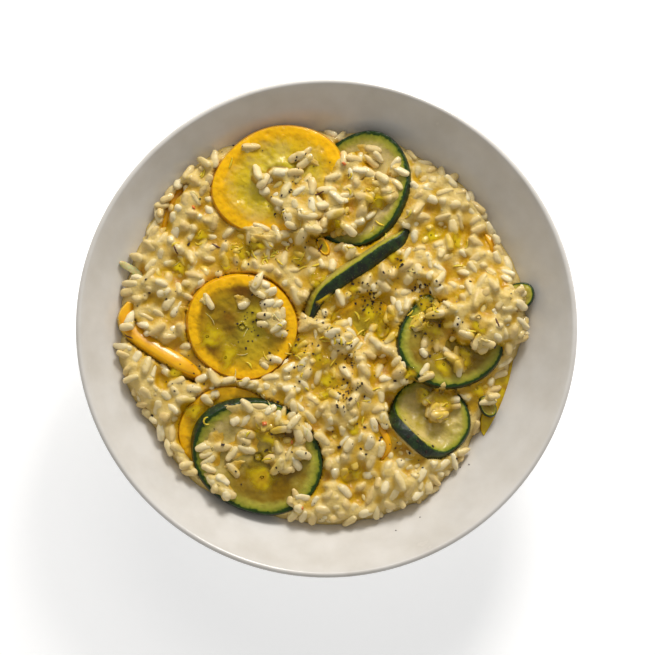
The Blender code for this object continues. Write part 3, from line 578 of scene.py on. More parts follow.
# Onion that was sliced raw and cooked in the rice. Its layers have turned glassy, so the eye gets
# a thin, pale yellow sliver that lets light through, with fine veins.
ONION_SKINS = [mottled("cooked_onion", ("#DDD7A0", "#C9C57E"), 2.0 * MM, (0.3, 0.2),
                       {"IOR": 1.38, "Roughness": 0.25, "Subsurface Weight": 0.5,
                        "Subsurface Scale": FLESH_DEPTH, "Coat Weight": 0.5,
                        "Coat Roughness": 0.1})]
for strip_name, strip_spec in STRIPS.items():
    kind = strip_name.split("_")[0]
    strip_materials = {"yellow": SQUASH, "green": ZUCCHINI, "onion": ONION_SKINS * 2}[kind]
    cooked = make_strip(strip_name, strip_spec, strip_materials)
    vegetables.append(cooked)

# ---- Rice ---------------------------------------------------------------------------------------
# Short-grain rice stirred in stock until each plump grain is soft outside, bound by its own
# starch, butter and cheese into a thick cream. The cream is one body that fills the bowl, and
# the grains that show lie half sunk in it, dropped one by one into the lowest free place.
HEAP_EDGE = tuple(radius * MM for radius in (
    88.5, 87.5, 86.0, 88.0, 87.0, 89.0, 87.5, 90.5, 92.0, 93.0, 90.5, 90.0,
    90.5, 91.0, 86.5, 88.5, 87.0, 84.5, 85.5, 85.0, 85.5, 82.0, 78.5, 79.5))
GAP = 0.35 * MM  # clearance between the bowl and what lies in it
CROWN = 37.6 * MM  # height of the heap in the middle
BROW = 4.6 * MM  # how far it rises above the line where it meets the wall
SHOULDER_FROM = 0.9  # share of the way out at which it starts to fall to that line
MOUNDS = (  # middle, reach and height of its swells and dips, in millimetres
    (70.0, 10.0, 13.0, 4.6), (48.0, 24.0, 12.0, 1.6), (-70.0, 24.0, 12.0, 1.6),
    (19.0, 4.0, 12.0, -3.0), (62.0, -37.0, 9.0, -2.4), (21.0, 57.0, 8.0, -1.5),
    (52.0, 39.0, 8.0, -1.6), (-5.0, -16.0, 8.0, -1.8), (12.0, -63.0, 9.0, -1.6),
    (2.0, 36.0, 8.0, -1.2), (-50.0, 27.0, 8.0, -1.0), (32.0, -66.0, 10.0, 1.4),
    (9.0, -34.0, 11.0, 1.6), (-67.0, -33.0, 11.0, 1.2), (-10.0, 37.0, 9.0, 1.2))
RIPPLES = ((17.0, 0.4, 0.55), (13.0, 2.1, 0.5), (22.0, 4.4, 0.6))  # length, direction, height
LUMPS = ((9.0, 31, 1.9), (5.0, 32, 0.9))  # size, seed and height of the lumps that rice clings into
GRAIN_LENGTH = (6.2 * MM, 9.2 * MM)
GRAIN_WIDTH = (3.0 * MM, 4.1 * MM)
GRAIN_DROPS = 3990  # tries, most of which find no place low enough once the heap is full
BROKEN = 0.14  # share of the grains that are short, broken ones
CELL = 0.5 * MM  # step of the height map that the grains are dropped on
MAP_REACH = 100.0 * MM
BED_BELOW = 2.8 * MM  # how far the bed that the grains are dropped on lies below the heap's top
CREAM_BELOW = 0.13 * MM  # how far the cream stays below the grains' tops
CREVICE = 1.2 * MM  # half width of the gaps between grains that cream fills to the brim
WIDE_GAP = 2.6 * MM  # half width of the gaps that it fills in part
PROUD = 0.65 * MM  # how far grains stand proud of the cream beside such a gap
POOL_SWELL = 0.35 * MM  # how far the cream's level goes up and down in wide gaps
CREAM_SWELL = 0.15 * MM  # and everywhere
UNDER_SLICE = (0.9 * MM, 3.2 * MM)  # how far it keeps below a slice's top, at the rim and inside
BURIED_BY = 0.4 * MM  # rice that is this much higher than a slice hides it
OFF_BOWL = (0.25 * MM, 0.15 * MM)  # how far the cream stands off the bowl, at its edge and below
EDGE_FRAY = 0.7 * MM  # how far the heap's edge wanders in and out
OPEN_COST = 3.0 * MM  # a place on an open slice counts as this much higher for a falling grain
DROP_LIMIT = 2.4 * MM  # a grain that would lie higher above the heap's top is left out
ANY_HEIGHT = 1.0  # a limit that leaves no grain out
CREAM_ROWS = 124
CREAM_COLUMNS = 640
OIL_HOLLOW = 1.1 * MM  # how far the rice is hollowed where oil stands
# Tints of the cream, from its pale lumps to the deep hollows between grains. The deeper ambers are
# partly sauce and oil lying thicker there and partly painted shade.
CREAM_AND_SHADE_TINTS = ("#E0C476", "#D4AC3C", "#B47E00")
RICE_TINTS = ("#DEC17C", "#E6D094", "#EEDFB4")
OIL_TINTS = ("#CCA000", "#DAB614")
CREAM_CLOUD = 7.0 * MM  # size of the cream's deeper and paler clouds
SKIN = 1.8 * MM  # size of the lumps on cream and grains, coarser than the real 0.5 mm to show
OIL_POOLS = (  # middle and reach of the oil that stands in hollows, in millimetres
    (21.4, 56.6, 5.0), (-2.9, 20.0, 5.0), (-2.0, 13.4, 4.0), (46.0, 41.0, 5.0), (56.5, 38.0, 4.5),
    (-11.6, -8.4, 5.0), (-3.0, -14.0, 4.6), (1.5, -23.7, 4.6), (10.3, 15.8, 4.0), (20.0, 9.2, 6.5),
    (26.0, 0.4, 5.5), (10.2, -62.9, 5.0), (-24.6, -46.3, 6.0), (46.0, 1.4, 7.0),
    (60.0, -14.0, 5.0), (51.0, -16.0, 6.0), (42.9, -29.0, 5.0), (50.0, -33.0, 5.0),
    (-64.3, 27.0, 4.0), (-38.0, 33.5, 5.0), (-30.0, 37.0, 4.0), (-11.6, 31.0, 4.0),
    (30.1, 30.4, 3.6), (66.0, -26.3, 4.0), (-55.6, 41.5, 4.0), (-28.0, -65.0, 8.0),
    (44.0, 9.0, 5.0), (12.0, -44.0, 3.4), (-44.0, 28.0, 3.0), (4.0, 4.0, 3.6),
    (-52.0, -4.0, 7.0), (-44.0, -13.0, 6.0), (0.0, -30.0, 4.0), (66.0, 0.0, 4.0),
    (-58.0, -36.0, 4.5), (-66.0, -20.0, 3.0), (36.0, -20.0, 3.4), (6.0, 46.0, 3.6))
CLUMPS = {  # rice that fell on a slice: its place from the slice's middle, size and turn
    "rice_on_yellow_1": dict(on="yellow_slice_1", at=(5.5, -5.5), size=(15.0, 10.0), turn=-25,
                             grains=27),
    "rice_on_yellow_2": dict(on="yellow_slice_2", at=(13.8, 3.4), size=(10.0, 4.8), turn=95,
                             grains=10),
    "rice_on_green_1": dict(on="green_slice_1", at=(12.6, 1.0), size=(9.4, 7.6), turn=40,
                            grains=15),
    "rice_on_green_2": dict(on="green_slice_2", at=(2.6, -3.0), size=(12.0, 6.6), turn=76,
                            grains=16),
    "rice_at_green_1": dict(on="green_slice_1", at=(-17.0, -12.2), size=(7.6, 3.4), turn=-42,
                            grains=6),
}
SMEARS = (  # thin sauce with a few grains: middle, half length, half width, turn and grains
    (-12.0, 50.5, 14.0, 8.0, -35, 13), (-28.5, 41.0, 10.5, 3.6, -12, 7),
    (-34.0, 79.0, 3.6, 2.2, 30, 1), (-9.0, 74.0, 6.5, 2.8, -20, 3), (-30.0, 66.0, 4.0, 3.0, 0, 1),
    (10.0, 67.0, 12.0, 8.5, 60, 13), (9.0, 50.0, 13.0, 8.5, 20, 14), (26.0, 60.0, 8.0, 6.0, 75, 6),
    (2.5, 58.0, 10.0, 5.0, 90, 6), (18.0, 77.0, 7.0, 4.4, -20, 3), (30.0, 70.0, 4.5, 3.0, 70, 2),
    (-29.0, 17.0, 7.0, 2.8, -35, 4), (-25.5, -14.0, 4.6, 2.6, 10, 2), (-53.0, 11.6, 2.4, 2.0, 0, 1),
    (-37.0, 12.0, 4.0, 2.6, -20, 1), (-30.0, -39.5, 17.0, 6.0, -10, 14),
    (-12.0, -42.5, 6.5, 4.0, -50, 5), (-49.5, -53.0, 10.0, 5.0, 80, 5),
    (-36.0, -51.0, 8.0, 6.0, 30, 3), (-34.5, -48.5, 3.2, 1.8, 70, 1),
    (-12.0, -76.0, 4.6, 4.0, 0, 5), (-40.0, -60.0, 5.0, 2.4, 20, 1), (80.0, 12.0, 6.5, 5.6, 20, 9),
    (66.0, 4.0, 12.5, 10.5, -30, 26), (50.0, -3.0, 8.0, 5.0, 70, 2),
    (57.0, -14.5, 7.0, 3.6, -40, 6), (52.0, 8.0, 7.0, 4.4, 20, 6), (44.0, -8.0, 4.0, 2.6, 60, 2),
    (68.0, -8.0, 4.0, 3.4, 0, 4), (43.0, -20.0, 2.4, 2.0, 0, 2), (40.5, 3.0, 4.0, 2.2, 70, 3),
    (-86.0, 2.0, 3.0, 2.4, 40, 2), (50.0, -32.0, 9.0, 6.0, 60, 11),
    (71.4, -31.0, 3.4, 2.6, -60, 3), (-50.0, -30.0, 3.4, 2.2, 30, 2))


def heap_edge(angle):
    """Distance from the axis to the heap's edge in a direction."""
    steps = np.arange(len(HEAP_EDGE)) * 15.0
    return np.interp(np.degrees(angle) % 360.0, steps, HEAP_EDGE, period=360.0)


def heap_top(x, y):
    """Height of the rice, without its grains."""
    distance = np.hypot(x, y)
    edge = heap_edge(np.arctan2(y, x))
    share = np.minimum(distance / edge, 1.0)
    contact = bowl_inside(edge) + 1.4 * GAP
    level = CROWN + (contact + BROW - CROWN) * share ** 4
    for across, along, reach, high in MOUNDS:
        apart = ((x / MM - across) ** 2 + (y / MM - along) ** 2) / reach ** 2
        level = level + high * MM * np.exp(-apart)
    for length, turn, high in RIPPLES:
        along = x / MM * math.cos(turn) + y / MM * math.sin(turn)
        across = y / MM * math.cos(turn) - x / MM * math.sin(turn)
        wave = np.sin(2 * math.pi * along / length + 1.3 * np.sin(across / 11.0))
        level = level + 0.5 * high * MM * wave
    inner = 1.0 - smooth_step(0.84, 0.97, share)
    for size, seed, high in LUMPS:
        level = level + high * MM * uneven(x, y, seed, size * MM) * inner
    level = level - OIL_HOLLOW * oil_pooled(x, y) * inner
    fall = np.clip((share - SHOULDER_FROM) / (1.0 - SHOULDER_FROM), 0.0, 1.0)
    return contact + (level - contact) * np.sqrt(1.0 - fall ** 2)


def oil_pooled(x, y):
    """How near a place is to the middle of a pool of oil, from 0 to 1."""
    total = np.zeros(np.broadcast(x, y).shape)
    for across, along, reach in OIL_POOLS:
        apart = (np.asarray(x) / MM - across) ** 2 + (np.asarray(y) / MM - along) ** 2
        apart = apart / reach ** 2
        total = np.maximum(total, np.exp(-0.6 * apart ** 1.5))
    return total


def oil_at(x, y):
    """How much oil lies at a place, from 0 to 1: most in the pools and where it is low."""
    amount = 0.8 * oil_pooled(x, y) + 0.3 * uneven(x, y, 5, 5.0 * MM)
    return smooth_step(0.2, 0.68, amount + 0.5 * ground.read(crevice, x, y))


def tree_of(objects):
    """One search tree of all the faces of some objects."""
    points, faces = [], []
    for thing in objects:
        start = len(points)
        points += [vertex.co[:] for vertex in thing.data.vertices]
        faces += [[start + index for index in face.vertices] for face in thing.data.polygons]
    return BVHTree.FromPolygons(points, faces)


def blurred(field, spread):
    """A height map smoothed over a distance."""
    reach = int(3.0 * spread / CELL)
    weights = np.exp(-0.5 * (np.arange(-reach, reach + 1) * CELL / spread) ** 2)
    weights /= weights.sum()
    for axis in (0, 1):
        padded = np.pad(field, [(reach, reach) if side == axis else (0, 0) for side in (0, 1)],
                        mode="edge")
        field = sum(weight * np.take(padded, np.arange(k, k + field.shape[axis]), axis)
                    for k, weight in enumerate(weights))
    return field


def closed_up(field, reach):
    """A height map with every gap narrower than twice a distance filled to its brim."""
    cells = int(round(reach / CELL))
    span = range(-cells, cells + 1)
    disc = [(i, j) for i in span for j in span if i * i + j * j <= cells * cells + 1]
    for pick, sign in ((np.maximum, 1), (np.minimum, -1)):
        padded = np.pad(field, cells, mode="edge")
        rows, columns = field.shape
        field = np.full_like(field, -sign * 9.0)
        for i, j in disc:
            near = padded[cells + i:cells + i + rows, cells + j:cells + j + columns]
            field = pick(field, near)
    return field


class Ground:
    """A height map that grains are dropped on, square, with its middle at the origin."""

    def __init__(self, reach, step):
        self.step = step
        self.count = int(round(reach / step)) * 2 + 1
        self.low = -(self.count // 2) * step
        line = self.low + np.arange(self.count) * step
        self.x, self.y = np.meshgrid(line, line)
        self.height = np.zeros_like(self.x)
        around = np.arange(-11, 12)
        self.near_x, self.near_y = (grid.ravel() for grid in np.meshgrid(around, around))

    def read(self, field, x, y):
        """Value of a map between its cells."""
        across = np.clip((np.asarray(x) - self.low) / self.step, 0, self.count - 1.001)
        along = np.clip((np.asarray(y) - self.low) / self.step, 0, self.count - 1.001)
        i, j = across.astype(int), along.astype(int)
        a, b = across - i, along - j
        return (field[j, i] * (1 - a) * (1 - b) + field[j, i + 1] * a * (1 - b)
                + field[j + 1, i] * (1 - a) * b + field[j + 1, i + 1] * a * b)

    def rest(self, x, y, heading, length, width, thick):
        """How a grain comes to rest there: its height, its slope, and the cells that it covers."""
        i = int(round((x - self.low) / self.step)) + self.near_x
        j = int(round((y - self.low) / self.step)) + self.near_y
        away_x, away_y = self.x[j, i] - x, self.y[j, i] - y
        along = away_x * math.cos(heading) + away_y * math.sin(heading)
        across = away_y * math.cos(heading) - away_x * math.sin(heading)
        inside = np.abs(2 * along / length) ** 2.6 + (2 * across / width) ** 2
        keep = inside < 0.94
        i, j, along = i[keep], j[keep], along[keep]
        half = thick / 2 * np.sqrt(1.0 - inside[keep])
        need = self.height[j, i] + half
        front = need[along > 0.22 * length].max(initial=-1.0)
        back = need[along < -0.22 * length].max(initial=-1.0)
        slope = max(-0.5, min(0.5, (front - back) / (0.62 * length)))
        middle = (need - slope * along).max()
        return middle, slope, (i, j, slope * along + half)

    def cover(self, middle, cells):
        """Raise the map to the top of a grain that lies there."""
        i, j, rise = cells
        np.maximum.at(self.height, (j, i), middle + rise)


def grain_shape(around=11, along=10):
    """A cooked grain's unit form along X, plump and blunt, and its faces."""
    turn = all_round(around)
    steps = np.arange(1, along) * math.pi / along
    x = np.repeat(np.cos(steps)[:, None], around, 1)
    out = np.repeat((np.sin(steps) ** 0.58)[:, None], around, 1)
    body = np.stack((x, out * np.cos(turn), out * np.sin(turn)), -1).reshape(-1, 3)
    faces = sheet_faces(along - 1, around)
    close_ends(faces, along - 1, around, 0, len(body), flip=True)
    return np.vstack((body, [(1.0, 0, 0), (-1.0, 0, 0)])), faces


GRAIN_POINTS, GRAIN_FACES = grain_shape()


def grains_mesh(grains, seed):
    """Points, faces and shades of many grains: each a row of place, heading, slope and size."""
    draw = np.random.default_rng(seed)
    rows = np.array(grains, float)
    count = len(rows)
    x, y, z = (np.repeat(GRAIN_POINTS[None, :, k], count, 0) for k in range(3))
    bend = draw.normal(0.0, 0.13, (count, 1))
    taper = draw.uniform(-0.22, 0.22, (count, 1))
    notch = draw.uniform(0.0, 0.4, (count, 1))
    ribs, start = draw.uniform(0.03, 0.14, (count, 1)), draw.uniform(0, 6.28, (count, 1))
    turn = np.arctan2(z, y)
    swell = (1.0 + taper * x) * (1.0 - ribs * np.cos(3.0 * turn + start))
    swell = swell * (1.0 - notch * np.exp(-((x - 0.8) / 0.24) ** 2) * np.maximum(0.0, np.cos(turn)))
    swell = swell * (1.0 + 0.07 * np.sin(5.0 * x + 2.0 * start + turn))
    y, z = y * swell + bend * (x ** 2 - 0.4), z * swell
    roll = draw.uniform(0.0, math.pi, (count, 1))
    y, z = y * np.cos(roll) - z * np.sin(roll), y * np.sin(roll) + z * np.cos(roll)
    x, y, z = x * rows[:, 5:6] / 2, y * rows[:, 6:7] / 2, z * rows[:, 7:8] / 2
    pitch, heading = np.arctan(rows[:, 4:5]), rows[:, 3:4]
    x, z = x * np.cos(pitch) - z * np.sin(pitch), x * np.sin(pitch) + z * np.cos(pitch)
    x, y = x * np.cos(heading) - y * np.sin(heading), x * np.sin(heading) + y * np.cos(heading)
    points = np.stack((x, y, z), -1) + rows[:, None, 0:3]
    size = GRAIN_POINTS.shape[0]
    faces = [tuple(index + k * size for index in face)
             for k in range(count) for face in GRAIN_FACES]
    shade = np.repeat(draw.uniform(0.0, 1.0, count), size)
    return points.reshape(-1, 3), faces, shade


def drop_grain(pick, places, limit, sink, refuse_open):
    """Drop a grain at the place where it comes to lie lowest, and say how it lies there."""
    length = pick.uniform(*GRAIN_LENGTH) * (0.62 if pick.random() < BROKEN else 1.0)
    width = pick.uniform(*GRAIN_WIDTH)
    thick = width * pick.uniform(0.8, 0.95)
    best = None
    for x, y in places:
        heading = pick.uniform(0.0, math.pi)
        middle, slope, cells = ground.rest(x, y, heading, length, width, thick)
        on_open = bare_slice[cells[1], cells[0]].mean() if refuse_open else 0.0
        above = middle - float(ground.read(drop_from, x, y)) + OPEN_COST * on_open
        if on_open <= 0.2 and (best is None or above < best[0]):
            best = (above, x, y, middle, heading, slope, cells)
    if best is None or best[0] > limit:
        return None
    _, x, y, middle, heading, slope, cells = best
    middle -= pick.uniform(*sink) * MM
    slope += pick.uniform(-0.14, 0.14)
    ground.cover(middle, cells)
    return x, y, middle, heading, slope, length, width, thick


def in_patch(patch, along, across):
    """Carry a place from a patch's own directions to the bowl's."""
    x, y, _, _, turn = patch
    cos, sin = math.cos(math.radians(turn)), math.sin(math.radians(turn))
    return (x + along * cos - across * sin) * MM, (y + along * sin + across * cos) * MM


def within(pick, patch):
    """A random place in a patch: its middle, half length, half width and turn."""
    _, _, long, wide, _ = patch
    angle, away = pick.uniform(0.0, 2.0 * math.pi), 0.88 * math.sqrt(pick.random())
    return in_patch(patch, long * away * math.cos(angle), wide * away * math.sin(angle))


ground = Ground(MAP_REACH, CELL)
vegetable_tree = tree_of(vegetables)
open_tree = tree_of([thing for thing in vegetables
                     if ROUNDS.get(thing.name[:-7], {}).get("open", True)])
far_out = np.hypot(ground.x, ground.y)
edge_there = heap_edge(np.arctan2(ground.y, ground.x))
plain_top = heap_top(ground.x, ground.y)
slice_top = np.full(ground.x.shape, -1.0)
lies_open = np.zeros(ground.x.shape, bool)
for j, i in zip(*np.nonzero(far_out < edge_there + 4.0 * MM)):
    above = Vector((ground.x[j, i], ground.y[j, i], 0.1))
    found = vegetable_tree.ray_cast(above, Vector((0, 0, -1)))
    if found[0] is not None:
        slice_top[j, i] = found[0].z
        lies_open[j, i] = open_tree.ray_cast(above, Vector((0, 0, -1)))[0] is not None
buried = (~lies_open) & (plain_top > slice_top + BURIED_BY)
bare_slice = (slice_top > 0.0) & ~buried
in_heap = far_out < edge_there
wall = bowl_inside(far_out)
ground.height = np.where(in_heap, np.maximum(plain_top - BED_BELOW, wall), wall)
ground.height = np.where(slice_top > 0.0, np.maximum(slice_top, ground.height), ground.height)
drop_from = plain_top

pick = np.random.default_rng(23)
grains = []
for _ in range(GRAIN_DROPS):
    places = []
    for _ in range(7):
        angle = pick.uniform(0.0, 2.0 * math.pi)
        limit = float(heap_edge(angle))
        distance = (limit + pick.uniform(-6.5, -0.8) * MM if pick.random() < 0.15
                    else limit * 0.99 * math.sqrt(pick.random()))
        places.append((distance * math.cos(angle), distance * math.sin(angle)))
    dropped = drop_grain(pick, places, DROP_LIMIT, (0.15, 0.7), True)
    if dropped is not None:
        grains.append(dropped)

drop_from = np.zeros_like(plain_top)
clump_patches = {}
clump_grains = {}
for clump_name, clump in CLUMPS.items():
    on_x, on_y, _ = ROUNDS[clump["on"]]["at"]
    patch = (on_x + clump["at"][0], on_y + clump["at"][1], *clump["size"], clump["turn"])
    clump_patches[clump_name] = patch
    clump_grains[clump_name] = [
        drop_grain(pick, [within(pick, patch) for _ in range(6)], ANY_HEIGHT, (0.8, 1.6), False)
        for _ in range(clump["grains"])]
for *patch, number in SMEARS:
    grains += [
        drop_grain(pick, [within(pick, patch) for _ in range(4)], ANY_HEIGHT, (0.9, 1.7), False)
        for _ in range(number)]

rise_and_fall = uneven(ground.x, ground.y, 77, 5.0 * MM)
pooled = blurred(closed_up(ground.height, WIDE_GAP), 1.2 * MM) - PROUD
pooled = pooled + POOL_SWELL * rise_and_fall
filled = blurred(np.maximum(closed_up(ground.height, CREVICE), pooled), 0.55 * MM)
rice_here = (in_heap & ~bare_slice).astype(float)
share_here = np.maximum(blurred(rice_here, 0.8 * MM), 1e-9)
beside = blurred(np.where(rice_here > 0, filled, 0.0) * rice_here, 0.8 * MM) / share_here
filled_rice = np.where(rice_here > 0, filled, np.where(share_here > 1e-3, beside, plain_top))
cream_top = filled_rice - CREAM_BELOW + CREAM_SWELL * rise_and_fall
well_inside = bare_slice & (blurred(bare_slice.astype(float), 1.4 * MM) > 0.97)
for covered, below in zip((bare_slice, well_inside), UNDER_SLICE):
    cream_top = np.where(covered, np.minimum(cream_top, slice_top - below), cream_top)
# How far the cream lies below the cream round it. The cream is painted a deeper amber there, partly
# for thicker sauce and oil and partly as painted shade, and more oil gathers there.
crevice = np.clip((blurred(filled, 2.6 * MM) - filled) / (1.1 * MM) + 0.15, 0.0, 1.0)
crevice = crevice * (1.0 - smooth_step(0.93, 0.98, far_out / edge_there))
lain_on = np.maximum(np.where(bare_slice, slice_top, -1.0), cream_top)

angles = all_round(CREAM_COLUMNS)
frayed = uneven(90 * MM * np.cos(angles), 90 * MM * np.sin(angles), 3, 6.0 * MM)
edge_line = heap_edge(angles) + EDGE_FRAY * frayed
shares = np.linspace(0.0, 1.0, CREAM_ROWS + 1)[1:]
bed_x = shares[:, None] * edge_line * np.cos(angles)
bed_y = shares[:, None] * edge_line * np.sin(angles)
bed_z = ground.read(cream_top, bed_x, bed_y)
bed_z = np.maximum(bed_z, bowl_inside(np.hypot(bed_x, bed_y)) + OFF_BOWL[0])
edge_height = bowl_inside(edge_line) + OFF_BOWL[0]
into_edge = smooth_step(0.97, 1.0, shares)[:, None]
bed_z = bed_z + (edge_height - bed_z) * into_edge
under_shares = np.array((0.96, 0.8, 0.55, 0.25))
under_x = under_shares[:, None] * edge_line * np.cos(angles)
under_y = under_shares[:, None] * edge_line * np.sin(angles)
under_z = bowl_inside(np.hypot(under_x, under_y)) + OFF_BOWL[1]
bed = np.stack((np.vstack((bed_x, under_x)), np.vstack((bed_y, under_y)),
                np.vstack((bed_z, under_z))), -1).reshape(-1, 3)
bed = np.vstack((bed, [(0, 0, float(ground.read(cream_top, 0.0, 0.0))),
                       (0, 0, FLOOR_TOP + OFF_BOWL[1])]))
bed_rows = CREAM_ROWS + len(under_shares)
bed_faces = sheet_faces(bed_rows, CREAM_COLUMNS)
close_ends(bed_faces, bed_rows, CREAM_COLUMNS, 0, len(bed) - 2)


def moist_starch(tree, place, tint, stain, detail, relief, roughness):
    """Finish cream or rice: tinted where oil lies, finely lumped, and under a wet film."""
    oil = add_node(tree, "Attribute", attribute_name="oil").outputs["Fac"]
    stained = add_node(tree, "Mix", {7: linear(stain)}, {0: oil, 6: tint}, data_type="RGBA")
    skin = add_node(tree, "TexNoise", {"Scale": 1.0 / SKIN, **detail}, {"Vector": place})
    bump = add_node(tree, "Bump", {"Strength": relief[0], "Distance": relief[1] * MM},
                    {"Height": skin})
    rough = add_node(tree, "MapRange", {3: roughness[0], 4: roughness[1]}, {"Value": skin})
    glossy = add_node(tree, "MapRange", {3: 0.85, 4: 1.0}, {"Value": oil})
    show(tree, add_node(tree, "BsdfPrincipled",
                        {"IOR": 1.38, "Subsurface Weight": 0.3, "Subsurface Scale": 1.5 * MM,
                         "Subsurface Radius": (1.0, 0.85, 0.6), "Coat Roughness": 0.06,
                         "Coat IOR": WET_FILM, "Specular IOR Level": UNDER_FILM},
                        {"Base Color": stained.outputs[2], "Roughness": rough, "Normal": bump,
                         "Coat Weight": glossy, "Coat Normal": bump}))


def starch_cream():
    """Cream between the grains: starch stirred out of the rice, thickened with butter and cheese.

    The eye gets a lumpy, wet paste, pale on its lumps and a deeper amber in the hollows between
    grains: partly sauce and oil lying thicker there, partly painted shade.
    """
    made, tree, place = new_material("starch_cream")
    # The deepest hollows get the darkest tint: partly thicker, oilier sauce, partly painted shade.
    deep = add_node(tree, "Attribute", attribute_name="crevice").outputs["Fac"]
    cloud = add_node(tree, "TexNoise", {"Scale": 1.0 / CREAM_CLOUD, "Detail": 4.0},
                     {"Vector": place})
    level = add_node(tree, "Math", {1: 1.5}, {0: cloud}, operation="MULTIPLY")
    level = add_node(tree, "Math", links={0: deep, 1: level}, operation="MULTIPLY")
    tint = add_node(tree, "ValToRGB", links={"Fac": level},
                    stops=tuple(zip((0.1, 0.4, 0.8), CREAM_AND_SHADE_TINTS)))
    moist_starch(tree, place, tint, OIL_TINTS[0], {"Detail": 5.0, "Roughness": 0.6}, (0.8, 0.7),
                 (0.4, 0.6))
    return made


def cooked_rice():
    """Cooked short-grain rice: grains swollen in stock, soft outside and firm in the middle.

    Each has a tint of its own, lets some light through, and has a smooth, moist, shining skin.
    """
    made, tree, place = new_material("cooked_rice")
    shade = add_node(tree, "Attribute", attribute_name="shade").outputs["Fac"]
    tint = add_node(tree, "ValToRGB", links={"Fac": shade},
                    stops=tuple(zip((0.0, 0.5, 1.0), RICE_TINTS)))
    moist_starch(tree, place, tint, OIL_TINTS[1], {"Detail": 4.0}, (0.6, 0.6), (0.36, 0.56))
    return made


CREAM_SAUCE = starch_cream()
RICE = cooked_rice()
cream = make_piece("cream_in_bowl", bed, bed_faces, [CREAM_SAUCE], values={
    "crevice": ground.read(crevice, bed[:, 0], bed[:, 1]), "oil": oil_at(bed[:, 0], bed[:, 1])})
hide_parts("risotto")
rice_points, rice_faces, rice_shade = grains_mesh(grains, 7)
rice = make_piece("rice_grains", rice_points, rice_faces, [RICE], values={
    "shade": rice_shade, "oil": 0.8 * oil_at(rice_points[:, 0], rice_points[:, 1])})

# ---- Rice on the slices -------------------------------------------------------------------------
# Spoonfuls of rice that fell on the slices as the bowl was filled: cream that has spread over
# the slice below, with grains half sunk in it.
COVER_ROWS = 14
COVER_COLUMNS = 52
COVER_THICK = 0.6 * MM
COVER_SWELL = 0.35 * MM  # how much thicker and thinner it is from place to place
COVER_TUCK = (0.35 * MM, 0.9 * MM)  # how far its edge and underside go into what lies below


def cover_mesh(patch, seed, points, faces):
    """Add a patch of cream over what lies there, which thins out at its uneven edge."""
    x0, y0, long, wide, _ = patch
    angle = all_round(COVER_COLUMNS)
    share = np.linspace(0.0, 1.0, COVER_ROWS + 1)[1:, None]
    outline = (1.05 + 0.13 * np.sin(3.0 * angle + seed) + 0.1 * np.sin(5.0 * angle + 2.0 * seed)
               + 0.07 * np.sin(9.0 * angle + 3.0 * seed))
    x, y = in_patch(patch, share * long * outline * np.cos(angle),
                    share * wide * outline * np.sin(angle))
    floor = ground.read(lain_on, x, y)
    swell = COVER_THICK + COVER_SWELL * uneven(x, y, seed, 3.0 * MM)
    top = np.maximum(ground.read(filled, x, y) - CREAM_BELOW, floor + swell * (1.0 - share ** 2))
    z = top + (floor - COVER_TUCK[0] - top) * smooth_step(0.62, 1.0, share)
    start = len(points)
    points += np.stack((x, y, z), -1).reshape(-1, 3).tolist()
    points += np.stack((x[-5], y[-5], floor[-5] - COVER_TUCK[1]), -1).tolist()
    points += [(x0 * MM, y0 * MM, float(z[0].mean())),
               (x0 * MM, y0 * MM, float(floor[0].min()) - COVER_TUCK[1])]
    faces += sheet_faces(COVER_ROWS + 1, COVER_COLUMNS, start)
    close_ends(faces, COVER_ROWS + 1, COVER_COLUMNS, start, len(points) - 2)


clumps = []
for seed, (clump_name, patch) in enumerate(clump_patches.items()):
    points, faces = [], []
    cover_mesh(patch, seed + 1, points, faces)
    start, cover_count = len(points), len(faces)
    grain_points, grain_faces, grain_shade = grains_mesh(clump_grains[clump_name], seed + 50)
    points = np.vstack((points, grain_points))
    faces += [tuple(index + start for index in face) for face in grain_faces]
    clump = make_piece(clump_name + "_cooked", points, faces, [CREAM_SAUCE, RICE],
                       [0] * cover_count + [1] * len(grain_faces), {
        "shade": np.concatenate((np.zeros(start), grain_shade)),
        "crevice": ground.read(crevice, points[:, 0], points[:, 1]),
        "oil": 0.6 * oil_at(points[:, 0], points[:, 1])})
    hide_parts(clump_name)
    clumps.append(clump)
points, faces = [], []
for seed, (*patch, _) in enumerate(SMEARS):
    cover_mesh(patch, seed + 11, points, faces)
points = np.array(points)
smears = make_piece("sauce_on_slices", points, faces, [CREAM_SAUCE], values={
    "crevice": ground.read(crevice, points[:, 0], points[:, 1]),
    "oil": 0.6 * oil_at(points[:, 0], points[:, 1])})

# ---- Olive oil ----------------------------------------------------------------------------------
# Green-gold olive oil poured over the dish. It stands in the hollows between the grains, and the
# rest has run down to the wall at the lower right, where it lies level as a narrow puddle.
OIL_LEVEL = 29.7 * MM
OIL_FROM, OIL_TO = -8.0, -34.0  # the puddle's ends, in degrees round the bowl
OIL_INNER = 76.4 * MM  # its edge on the side of the rice, from the axis
OIL_STATIONS = 48
OIL = ("#B68C00", "#E2C606")
SWIRL = 4.0 * MM  # size of the swirls where oil and stock mix
FILM_EDGE = 0.25 * MM  # how far the puddle's rim bends down
POOL_RISE = 0.35 * MM  # how far a pool's level is above the middling height of its hollow
POOL_FULL = 0.9 * MM  # depth at which oil has its full colour
POOL_DEEPEST = 1.0 * MM
POOL_TUCK = (0.5 * MM, 1.2 * MM)  # how far its edge and underside go into the rice
POOL_ROWS = 14
POOL_COLUMNS = 40


